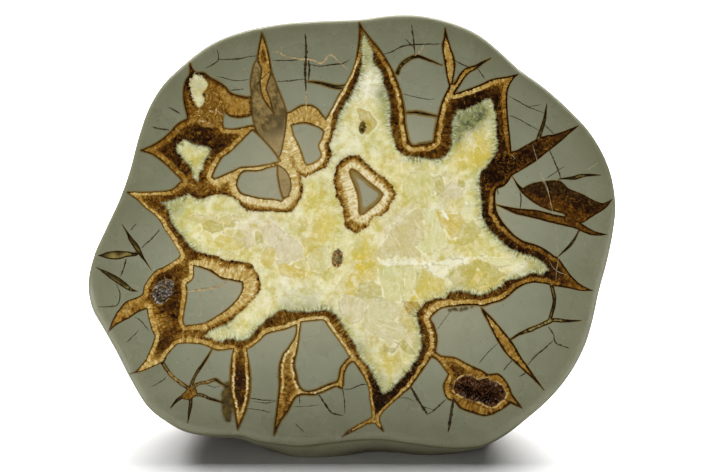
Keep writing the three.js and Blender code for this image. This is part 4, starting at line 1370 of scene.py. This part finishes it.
def calcite_colour(g, colours, place, edge, grain):
    """Massive calcite: pale yellow and green clouds, clearer yellow and beige crystals, a feathered edge."""
    def patch(name, unevenness):
        return (g.value(name) * unevenness).held()

    crystal, strength = g.value("crystal", "Color"), g.value("crystal", "Alpha")
    dark_wall = g.value("core").between(0.5, 0.15)
    mottle = g.noise(place, 5.0, 4, 0.6)
    grit = g.noise(place, 1.3, 3, 0.7)
    glow = g.noise(place, 8.0, 3, 0.6, warp=0.8)
    # Cells that differ a little in colour, and the striae of the larger single crystals.
    bent = g.wandered(place, 0.14, 2.0, 6)
    facets = g.out("ShaderNodeTexVoronoi", {"Vector": bent, "Scale": 1 / 6}, "Color")
    facet = [g.out("ShaderNodeSeparateColor", {0: facets}, k) for k in range(3)]
    turned = g.out("ShaderNodeVectorRotate", {
        "Vector": place, "Axis": FACE_OUTWARDS, "Angle": g.value("lay")}, rotation_type="AXIS_ANGLE")
    striae = g.noise(g.vector("MULTIPLY", turned, (0.12, 1.0, 1.0)), 1.2, 3, 0.6)
    grooved = strength * edge.between(2.0, 6.0) * facet[2].between(0.3, 0.6)
    calm = strength * -0.65 + 1
    murk = g.mix(g.noise(place, 3.0, 4, 0.7).between(0.40, 0.60), "3a4428", "7c8350")
    cleft = g.value("cleft").between(0.12, 0.5, 1, 0) * g.noise(place, 5.0, 2).between(0.40, 0.56)
    speckled = patch("speckled", g.cells(place, 0.9).between(0.20, 0.34, 1, 0))
    # The feathered edge towards the lining.
    feather = grain["Teeth"].swing(3.2) + edge
    plume = feather.between(1.0, 4.5, 0.6, 0) * grain["Fine"].between(0.35, 0.8, 0.05, 1)
    gap = feather.between(0.6, 3.6, 1, 0) * grain["Fine"].between(0.55, 0.2)
    rim = (grain["Broad"] - 0.5 + edge).between(0.1, 1.4, 1, 0)
    cloud = g.noise(place, 14, 4, 0.6, warp=0.4)
    return g.layers(
        g.mix(cloud.between(0.36, 0.62), colours.calcite_green, colours.calcite),
        (patch("yellow", mottle.between(0.3, 0.55, 0.6, 1)), colours.calcite_yellow),
        (patch("beige", facet[0].between(0.15, 0.75, 0.4, 1)) * 0.9, colours.calcite_beige),
        (patch("white", mottle.between(0.36, 0.62, 0.4, 1)) * 0.9, "f4f3de"),
        (strength * mottle.between(0.30, 0.60, 1.1, 0.75), crystal),
        (glow.between(0.50, 0.64, 0, 0.50) * calm, "ccb648"),
        (glow.between(0.50, 0.36, 0, 0.45) * calm, "e6e2c8"),
        (facet[0].between(0.60, 1.0, 0, 0.22) * calm, "f4f0d0"),
        (facet[1].between(0.40, 0.0, 0, 0.30) * calm, "b8a548"),
        (mottle.between(0.50, 0.64, 0, 0.34) * calm, "f6f3d8"),
        (mottle.between(0.48, 0.36, 0, 0.34) * calm, "b8a53c"),
        (patch("green", mottle.between(0.3, 0.6, 0.5, 1.1)) * 0.92, murk),
        (grooved * striae.between(0.50, 0.66, 0, 0.22), "fbf8e4"),
        (grooved * striae.between(0.46, 0.34, 0, 0.20), "a89c60"),
        (grit.between(0.46, 0.34, 0, 0.14), "978c4a"),
        (grit.between(0.56, 0.68, 0, 0.24), "fffdf0"),
        (cleft * 0.42, g.mix(glow.between(0.44, 0.50), "a09454", "f8f4dc")),
        (speckled * g.noise(place, 2.0, 2).between(0.44, 0.56, 0, 0.8), "4c4a42"),
        (feather.between(-0.5, 6.0, 0.62, 0) * dark_wall, "8a8a4c"),
        (plume, g.mix(dark_wall, "e6dfb0", "dfe3c2")),
        (gap * (dark_wall * 0.5 + 0.25), g.mix(dark_wall, "a5935c", "5a5e36")),
        (rim * (dark_wall * 0.5 + 0.3), g.mix(dark_wall, "a28c55", "4e4928")),
    )


def filling_material(name, colours, has_calcite):
    """Aragonite lining along the walls and, where the crack was wide enough, calcite inside it."""
    material, g = new_material(name)
    place = g.place()
    depth, edge = g.value("wall"), g.value("edge")
    grain = g.group(fibres(), fibre=g.value("fibre", "Vector"), depth=depth)
    fine, teeth, broad = grain["Fine"], grain["Teeth"], grain["Broad"]
    shades = {part: g.value(part) for part in ("rind", "band", "dark", "pale", "core")}
    bands = g.group(lining_bands(), depth=depth, edge=edge, fine=fine, teeth=teeth, broad=broad, place=place,
                    **shades)
    crystal, strength = g.value("crystal", "Color"), g.value("crystal", "Alpha")
    # Only the darkest single crystals grow in the lining too.
    clear = (strength + g.noise(place, 2.4, 4, 0.7).swing(1.2)).between(0.55, 0.85, 0, 0.86)
    clear = clear * strength.between(0.1, 0.3) * g.out("ShaderNodeRGBToBW", {0: crystal}).between(0.10, 0.05)
    mottled = g.ramp(g.noise(place, 1.7, 4, 0.75), [
        (0.36, "5a5040"), (0.50, "b8b0a0"), (0.57, "ffffff"), (0.64, (3.4, 2.8, 1.8, 1.0))])
    colour = g.mix(clear, bands["Colour"], g.mix(1, crystal, mottled, "MULTIPLY"))
    if has_calcite:
        crinkled = teeth.swing(1.0) + broad.swing(1.5) + fine.swing(0.4) + edge
        colour = g.mix(crinkled.between(-0.15, 0.25), colour, calcite_colour(g, colours, place, edge, grain))
    # Narrow cracks, darkest at the wall.
    uneven = g.noise(place, 1.6, 3, 0.65).swing(1.6) + depth
    lit = uneven.between(0.2, 0.9) * g.noise(place, 15, 2).between(0.42, 0.58, 0.35, 1)
    tan = g.mix(g.noise(place, 1.4, 3, 0.7).between(0.4, 0.6), "6a4c1e", "b4965a")
    seam = g.mix(g.value("yellow") * uneven.between(0.15, 0.55, 0.2, 0.8),
                 g.ramp(lit, [(0, "140e06"), (0.45, "3c3014"), (1, "8a7a44")]), tan)
    # The grey lens, the tangle of small cracks, the lip of the pocket, and the dark ground of the open
    # hollows, which is partly their own dark colour and partly painted shade.
    patchy = g.noise(place, 7.0, 3, 0.6)
    lens = g.layers(
        g.mix(g.noise(place, 1.7, 4, 0.7).between(0.36, 0.62), "665530", "8c774a"),
        (patchy.between(0.48, 0.60, 0, 0.75), "4c3f22"),
        (patchy.between(0.46, 0.36, 0, 0.5), "9c8453"),
        (shades["pale"].between(0.66, 0.80, 0, 0.5), "ac966a"),
        (g.value("speckled") * patchy.between(0.36, 0.5, 0.6, 0.95), "50442a"),
        (depth.between(0.15, 0.7, 0.85, 0), "4a3412"),
    )
    knots = g.noise(place, 4.8, 3, 0.62, warp=2.0)
    tangle = g.ramp(knots, [
        (0.32, "3a2008"), (0.40, "6a450e"), (0.45, "8c651c"), (0.48, "341c04"), (0.52, "7c5614"),
        (0.56, "b8944a"), (0.60, "5a380a"), (0.66, "9c762e")])
    creamy = g.noise(place, 1.6, 3, 0.7).between(0.56, 0.66) * knots.between(0.50, 0.6)
    lip = g.noise(place, 1.1, 3, 0.6).swing(3) + g.value("lip")
    colour = g.layers(
        colour,
        (g.value("seam"), seam),
        (g.value("grey"), lens),
        (g.value("tangle") * 0.95, g.mix(creamy * 0.7, tangle, "e6d8b0")),
        (lip.between(0.9, 1.3, 0.9, 0) * g.noise(place, 5.0, 1).between(0.42, 0.54, 0.25, 1), "d2b06a"),
        # Painted shade, with the crystals' own dark colour: the ground of the open hollows darkened.
        (g.value("hollow") * g.noise(place, 3.0, 4, 0.7).between(0.38, 0.54, 0.35, 0.95), "1c0e05"),
    )
    sheen = g.group(hand_polish(), place=place, roughness=0.24)
    normal = g.bump(fine * 0.03 + sheen["Height"] * 0.01, 0.4, 0.0006)
    finish_material(g, colour, sheen["Roughness"], normal, specular=0.22)
    return material


def hairline_material():
    """Thin veins: dark brown, tan or nearly white by their tone."""
    material, g = new_material("hairline vein")
    place = g.place()
    shade = g.noise(place, 1.6, 4, 0.7)
    tone = g.value("tone")
    colour = g.layers(
        g.mix(shade.between(0.38, 0.66), "120c04", "4c3c1c"),
        (tone.between(0.3, 0.7), g.mix(shade.between(0.36, 0.62), "8a7450", "b8a47c")),
        (tone.between(1.3, 1.7), g.mix(shade.between(0.36, 0.62), "857c5c", "aca27c")),
    )
    sheen = g.group(hand_polish(), place=place, roughness=0.3)
    finish_material(g, colour, sheen["Roughness"], specular=0.22)
    return material


def crystal_material(name, deep, light):
    """Small crystals, each a little different in colour and in gloss."""
    material, g = new_material(name)
    each = g.noise(g.place(), 1.5, 2, 0.6)
    colour = g.mix(each.between(0.34, 0.68), deep, light)
    normal = g.bump(g.noise(g.place(), 0.35, 2), 0.3, 0.0002)
    finish_material(g, colour, each.between(0.3, 0.7, 0.25, 0.4), normal, specular=0.3)
    return material


# ------------------------------------------------------------------ geometry nodes

def geometry_tree(name, inputs):
    """An empty geometry node tree with named inputs, and its graph and what it is given."""
    tree = bpy.data.node_groups.new(name, "GeometryNodeTree")
    for way in ("INPUT", "OUTPUT"):
        tree.interface.new_socket("Geometry", in_out=way, socket_type="NodeSocketGeometry")
    for label, kind in inputs.items():
        tree.interface.new_socket(label, in_out="INPUT", socket_type=kind)
    graph = Graph(tree)
    return tree, graph, graph.outs("NodeGroupInput", {})


def close_tree(g, geometry, material):
    """Ends a geometry tree in real meshes with their material."""
    real = g.out("GeometryNodeRealizeInstances", {0: geometry})
    painted = g.out("GeometryNodeSetMaterial", {"Geometry": real, "Material": material})
    g.add("NodeGroupOutput", {"Geometry": painted})


def grown(name, source, tree, values):
    """The plain mesh that a geometry tree makes from a source mesh."""
    carrier = new_object(name + "_source", source)
    modifier = carrier.modifiers.new("growth", "NODES")
    modifier.node_group = tree
    sockets = {item.name: item.identifier for item in tree.interface.items_tree if item.in_out == "INPUT"}
    for label, value in values.items():
        modifier[sockets[label]] = value
    depsgraph = bpy.context.evaluated_depsgraph_get()
    mesh = bpy.data.meshes.new_from_object(carrier.evaluated_get(depsgraph), depsgraph=depsgraph)
    carrier.modifiers.remove(modifier)
    bpy.data.objects.remove(carrier)
    mesh.name = name
    return mesh


VEIN_SIDES = 8
THINNEST_VEIN = 0.03  # radius at its ends


def vein_tree():
    """Turns lines on the face into thin veins that waver and run out to a point."""
    tree, g, given = geometry_tree("Veins", {
        "Step": FLOAT, "Waver": FLOAT, "Seed": FLOAT, "Flatness": FLOAT, "Material": "NodeSocketMaterial"})
    curve = g.out("GeometryNodeMeshToCurve", {0: given["Geometry"]})
    curve = g.out("GeometryNodeCurveSplineType", {"Curve": curve}, spline_type="CATMULL_ROM")
    curve = g.out("GeometryNodeResampleCurve", {"Curve": curve, "Length": given["Step"]}, mode="LENGTH")
    place = g.out("GeometryNodeInputPosition", {})
    drift = g.out("ShaderNodeTexNoise", {
        "Vector": place, "W": given["Seed"], "Scale": 0.45, "Detail": 3.0}, "Color", noise_dimensions="4D")
    drift = g.vector("SCALE", g.vector("SUBTRACT", drift, (0.5, 0.5, 0.5)), scale=given["Waver"])
    drift = g.vector("MULTIPLY", drift, (1, 1, 0))
    curve = g.out("GeometryNodeSetPosition", {"Geometry": curve, "Offset": drift})
    share = g.out("GeometryNodeSplineParameter", {}, "Factor")
    taper = g.math("POWER", share * (1 - share) * 4, 0.45)
    uneven = g.noise(place, 1.9, 3, 0.7, fourth=given["Seed"]).between(0.3, 0.7, 0.45, 1.35)
    width = g.out("GeometryNodeInputNamedAttribute", {"Name": "width"}, data_type="FLOAT")
    radius = g.math("MAXIMUM", width * 0.5 * taper * uneven, THINNEST_VEIN)
    curve = g.out("GeometryNodeSetCurveRadius", {"Curve": curve, "Radius": radius})
    curve = g.out("GeometryNodeSetCurveNormal", {"Curve": curve}, mode="Z_UP")
    circle = g.out("GeometryNodeCurvePrimitiveCircle", {"Resolution": VEIN_SIDES, "Radius": 1.0})
    squash = g.out("ShaderNodeCombineXYZ", {"X": 1.0, "Y": given["Flatness"], "Z": 1.0})
    section = g.out("GeometryNodeTransform", {"Geometry": circle, "Scale": squash})
    mesh = g.out("GeometryNodeCurveToMesh", {
        "Curve": curve, "Profile Curve": section, "Scale": radius, "Fill Caps": True})
    close_tree(g, mesh, given["Material"])
    return tree


CRYSTAL_SHAFT = (0.42, 0.5, 1.5)  # radius above, radius below and height, for a crystal of size 1
CRYSTAL_TIP = (0.0, 0.42, 0.55)
CRYSTAL_ROOT = 0.35  # how much of its height is sunk


def crystal_tree():
    """Covers a patch with small six-sided crystals that stand about square to it."""
    numbers = dict.fromkeys(("Density", "Spacing", "Smallest", "Largest", "Tilt", "Clustering"), FLOAT)
    others = {"Seed": "NodeSocketInt", "Material": "NodeSocketMaterial"}
    tree, g, given = geometry_tree("Crystals", numbers | others)
    clumps = g.noise(g.out("GeometryNodeInputPosition", {}), 2.6, 2, 0.6)
    scatter = g.outs("GeometryNodeDistributePointsOnFaces", {
        "Mesh": given["Geometry"], "Distance Min": given["Spacing"], "Density Max": given["Density"],
        "Density Factor": clumps.between(0.44, 0.54, 1 - given["Clustering"], 1), "Seed": given["Seed"],
    }, distribute_method="POISSON")
    shaft, tip = (g.out("GeometryNodeMeshCone", {
        "Vertices": 6, "Radius Top": top, "Radius Bottom": foot, "Depth": height})
        for top, foot, height in (CRYSTAL_SHAFT, CRYSTAL_TIP))
    raised = g.out("GeometryNodeTransform", {"Geometry": tip, "Translation": (0, 0, CRYSTAL_SHAFT[2])})
    both = g.out("GeometryNodeJoinGeometry", {0: raised})
    g.tree.links.new(shaft.socket, both.socket.node.inputs[0])
    crystal = g.out("GeometryNodeConvexHull", {"Geometry": both})
    sunk = g.out("GeometryNodeTransform", {"Geometry": crystal, "Translation": (0, 0, -CRYSTAL_ROOT)})
    lean = g.out("FunctionNodeRandomValue", {0: (-1, -1, -1), 1: (1, 1, 1), "Seed": given["Seed"]},
                 data_type="FLOAT_VECTOR")
    way = g.vector("ADD", scatter["Normal"], g.vector("SCALE", lean, scale=given["Tilt"]))
    turned = g.out("FunctionNodeAlignRotationToVector", {"Vector": way}, axis="Z")
    size = g.out("FunctionNodeRandomValue", {
        2: given["Smallest"], 3: given["Largest"], "Seed": given["Seed"]}, 1)
    copies = g.out("GeometryNodeInstanceOnPoints", {
        "Points": scatter["Points"], "Instance": sunk, "Rotation": turned, "Scale": size})
    close_tree(g, copies, given["Material"])
    return tree


def line_mesh(lines):
    """A mesh of open lines on the face, in millimetres, each with its width and tone."""
    points, edges, widths, tones = [], [], [], []
    for line in lines:
        first = len(points)
        points += [(x, y, 0) for x, y in line.points]
        edges += [(k, k + 1) for k in range(first, len(points) - 1)]
        widths += [line.width] * len(line.points)
        tones += [line.tone] * len(line.points)
    mesh = new_mesh("vein lines", points, [], edges)
    write_values(mesh, "POINT", {"width": widths, "tone": tones})
    return mesh


def laid_on_face(mesh):
    """Moves a mesh made in the face's plane, in millimetres, to the standing stone."""
    points = np.empty(len(mesh.vertices) * 3)
    mesh.vertices.foreach_get("co", points)
    points = points.reshape(-1, 3)
    points[:, 2] -= rim_setback(inset(points[:, :2]))
    mesh.vertices.foreach_set("co", standing(*points.T).ravel())
    mesh.update()
    return mesh


def hollow_mesh(name):
    """The surface of an open hollow, in the face's frame."""
    p = pattern()
    surface = levels()[0]
    numbers, flat = np.unique(p.triangles[p.hollow[name]], return_inverse=True)
    return new_mesh(name, np.column_stack((p.places[numbers], surface[numbers])), flat.reshape(-1, 3))


# ------------------------------------------------------------------ the add-on

# Crystals in the open hollows: hollow, material slot, their size as a share of the largest, spacing, how much
# they gather in clumps, and their deep and light colours.
HOLLOW_CRYSTALS = [
    ("pocket", "aragonite", 1.0, 0.9, 0.45, "120802", "6a3c12"),
    ("spike", "calcite", 0.6, 0.7, 0.85, "3a2a08", "b09a3c"),
    ("left", "calcite", 0.7, 0.8, 0.9, "3a2c1c", "b4a89c"),
    ("centre", "aragonite", 0.85, 1.5, 0.2, "241004", "e0ac64"),
]
CRYSTAL_SETTINGS = {"Density": 6.0, "Tilt": 0.5, "Seed": 11}
SMALLEST_CRYSTAL = 0.4  # as a share of the largest in the same hollow
VEIN_SETTINGS = {"Seed": 4.0, "Flatness": 0.08}


def length_property(name, description, default, low, high):
    """A length in metres, from numbers in millimetres."""
    return bpy.props.FloatProperty(
        name=name, description=description, default=default * MM, min=low * MM, max=high * MM,
        unit="LENGTH", subtype="DISTANCE", precision=4)


def colour_property(name, description, code):
    return bpy.props.FloatVectorProperty(
        name=name, description=description, default=paint(code), size=4, min=0, max=1, subtype="COLOR")


class NoduleSizes(bpy.types.PropertyGroup):
    rind_relief: length_property("Rind relief", "How far the back swells and dips", 0.7, 0, 3)
    vein_step: length_property("Vein step", "Distance between the bends of a hairline vein", 0.5, 0.2, 3)
    vein_waver: length_property("Vein waver", "How far a hairline vein strays from its line", 0.8, 0, 3)
    crystal_size: length_property("Crystal size", "Width of the largest crystals in the hollows", 1.8, 0.3, 5)


class NoduleColours(bpy.types.PropertyGroup):
    mudstone: colour_property("Mudstone", "Body of the stone", "84866f")
    # Painted pool of light: the face is painted paler in its middle.
    painted_light_middle: colour_property("Mudstone heart", "Paler mudstone in the middle of the face", "96947b")
    # Painted shade: the face is painted darker towards its outline; this colour is also the base of the back.
    rim: colour_property("Rim", "Darker zone along the outline of the face", "6b6b52")
    stain: colour_property("Stain", "Brown stain beside the cracks, which tints the stone", "e9ca8c")
    rind: colour_property("Rind", "Ochre patches on the back", "80694a")
    calcite: colour_property("Calcite", "Pale calcite", "e2dba2")
    calcite_green: colour_property("Green calcite", "Greener clouds in the calcite", "c9c67c")
    calcite_yellow: colour_property("Yellow calcite", "Clear yellow patches", "d4bd42")
    calcite_beige: colour_property("Beige calcite", "Clear beige crystals", "d6caa2")


class NoduleStage(bpy.types.PropertyGroup):
    camera_distance: length_property("Camera distance", "From the camera to the face", 1400, 300, 5000)
    view_width: length_property("View width", "Width of the view at the face", 382.3, 100, 2000)


class NODULE_OT_body(bpy.types.Operator):
    """Make the mudstone body with its ground back and the pockets of its crack fillings"""
    bl_idname = "nodule.body"
    bl_label = "Mudstone body"

    def execute(self, context):
        points, faces, values = body_mesh(context.scene.nodule_sizes.rind_relief / MM)
        material = mudstone_material(context.scene.nodule_colours)
        mesh = stone_mesh("mudstone_body", points, faces, material, values, {})
        ground_flat(mesh)
        add_piece("mudstone_body", mesh)
        return {"FINISHED"}


class NODULE_OT_fillings(bpy.types.Operator):
    """Fill the cracks: the large star with calcite inside, and the cracks apart from it"""
    bl_idname = "nodule.fillings"
    bl_label = "Crack fillings"

    def execute(self, context):
        colours = context.scene.nodule_colours
        filled = np.flatnonzero(pattern().filling)
        patch = patches_of(pattern().triangles[filled])
        for name, slot, chosen, has_calcite in (
                ("star_filling", "calcite", patch == 0, True),
                ("side_crack_fillings", "aragonite", patch > 0, False)):
            points, faces, values, face_values = filling_mesh(filled[chosen])
            material = filling_material(name.replace("_", " "), colours, has_calcite)
            add_piece(name, stone_mesh(name, points, faces, material, values, face_values))
        return {"FINISHED"}


class NODULE_OT_hairlines(bpy.types.Operator):
    """Draw the hairline veins that run through the mudstone between the cracks"""
    bl_idname = "nodule.hairlines"
    bl_label = "Hairline veins"

    def execute(self, context):
        sizes = context.scene.nodule_sizes
        mesh = grown("hairline_veins", line_mesh(HAIRLINES), vein_tree(), VEIN_SETTINGS | {
            "Step": sizes.vein_step / MM, "Waver": sizes.vein_waver / MM, "Material": hairline_material()})
        add_piece("hairline_veins", laid_on_face(mesh))
        return {"FINISHED"}


class NODULE_OT_crystals(bpy.types.Operator):
    """Grow small crystals in the open hollows of the fillings"""
    bl_idname = "nodule.crystals"
    bl_label = "Hollow crystals"

    def execute(self, context):
        tree = crystal_tree()
        for name, slot, share, spacing, clustering, deep, light in HOLLOW_CRYSTALS:
            largest = share * context.scene.nodule_sizes.crystal_size / MM
            mesh = grown(name + "_crystals", hollow_mesh(name), tree, CRYSTAL_SETTINGS | {
                "Spacing": spacing, "Smallest": SMALLEST_CRYSTAL * largest, "Largest": largest,
                "Clustering": clustering, "Material": crystal_material(name + " crystals", deep, light)})
            mesh.transform(FACE_TO_WORLD @ Matrix.Scale(MM, 4))
            add_piece(name + "_crystals", mesh)
        return {"FINISHED"}


class NODULE_OT_stage(bpy.types.Operator):
    """Set the floor, the lights and the camera"""
    bl_idname = "nodule.stage"
    bl_label = "Stage"

    def execute(self, context):
        stage = context.scene.nodule_stage
        lay_floor()
        light_stage(context.scene)
        aim_camera(context.scene, stage.camera_distance, stage.view_width)
        return {"FINISHED"}


VIEW_CENTRE = (1.35, 115.56)  # the place on the face in the middle of the view
SENSOR = 36.0
CAMERA_REACH = 20.0  # how far the camera sees, in metres
FLOOR_CORNERS = [(-4, -4, 0), (4, -4, 0), (4, 4, 0), (-4, 4, 0)]  # in metres
FLOOR_COLOURS = ((0.70, 0.70, 0.70, 1), (0.73, 0.73, 0.72, 1))


def lay_floor():
    mesh = new_mesh("floor", FLOOR_CORNERS, [(0, 1, 2, 3)])
    material, g = new_material("floor")
    finish_material(g, g.mix(g.noise(g.place(), 60, 3), *FLOOR_COLOURS), 0.9)
    mesh.materials.append(material)
    new_object("floor", mesh)


# Soft lights: name, place in metres, width and height in metres, power in watts.
LIGHTS = [
    ("top_softbox", (0.0, 1.0, 1.7), (3.8, 1.3), 270.0),
    ("left_softbox", (-1.35, -1.15, 0.14), (0.9, 0.22), 12.0),
    ("right_softbox", (1.35, -1.15, 0.14), (0.9, 0.22), 5.0),
    ("back_softbox", (0.3, 1.7, 0.7), (1.2, 0.9), 5.0),
]
LIT_PLACE = (0, 0, 0.1)  # where the soft lights point, in metres
WORLD_LIGHT = 0.05


def light_stage(scene):
    for name, place, (width, height), power in LIGHTS:
        light = bpy.data.lights.new(name, "AREA")
        light.shape = "RECTANGLE"
        light.size, light.size_y = width, height
        light.energy = power
        lamp = new_object(name, light)
        lamp.location = place
        lamp.rotation_euler = (Vector(place) - Vector(LIT_PLACE)).to_track_quat("Z", "Y").to_euler()
    world = bpy.data.worlds.new("studio")
    world.use_nodes = True
    background = world.node_tree.nodes["Background"]
    background.inputs["Color"].default_value = (1, 1, 1, 1)
    background.inputs["Strength"].default_value = WORLD_LIGHT
    scene.world = world
    scene.view_settings.view_transform = "Standard"


def aim_camera(scene, distance, view_width):
    camera = bpy.data.cameras.new("camera")
    camera.sensor_width = SENSOR
    camera.lens = SENSOR * distance / view_width
    camera.clip_end = CAMERA_REACH
    viewer = new_object("camera", camera)
    place = standing([VIEW_CENTRE[0]], [VIEW_CENTRE[1]], [distance / MM])[0]
    viewer.matrix_world = Matrix.Translation(Vector(place)) @ Matrix.Rotation(math.pi / 2 - FACE_LEAN, 4, "X")
    scene.camera = viewer


OPERATORS = (NODULE_OT_body, NODULE_OT_fillings, NODULE_OT_hairlines, NODULE_OT_crystals, NODULE_OT_stage)


class NODULE_PT_panel(bpy.types.Panel):
    """Sizes, colours and the steps that build the nodule"""
    bl_label = "Septarian Nodule"
    bl_idname = "NODULE_PT_panel"
    bl_space_type = "VIEW_3D"
    bl_region_type = "UI"
    bl_category = "Nodule"

    def draw(self, context):
        scene = context.scene
        groups = {"Sizes": scene.nodule_sizes, "Colours": scene.nodule_colours, "Stage": scene.nodule_stage}
        for title, group in groups.items():
            box = self.layout.box()
            box.label(text=title)
            for name in type(group).__annotations__:
                box.prop(group, name)
        for operator in OPERATORS:
            self.layout.operator(operator.bl_idname)


CLASSES = (NoduleSizes, NoduleColours, NoduleStage, *OPERATORS, NODULE_PT_panel)


def register():
    for item in CLASSES:
        bpy.utils.register_class(item)
    bpy.types.Scene.nodule_sizes = bpy.props.PointerProperty(type=NoduleSizes)
    bpy.types.Scene.nodule_colours = bpy.props.PointerProperty(type=NoduleColours)
    bpy.types.Scene.nodule_stage = bpy.props.PointerProperty(type=NoduleStage)


def unregister():
    for name in ("nodule_stage", "nodule_colours", "nodule_sizes"):
        delattr(bpy.types.Scene, name)
    for item in reversed(CLASSES):
        bpy.utils.unregister_class(item)


def main():
    register()
    for step in (bpy.ops.nodule.body, bpy.ops.nodule.fillings, bpy.ops.nodule.hairlines,
                 bpy.ops.nodule.crystals, bpy.ops.nodule.stage):
        step()


if __name__ == "__main__":
    main()
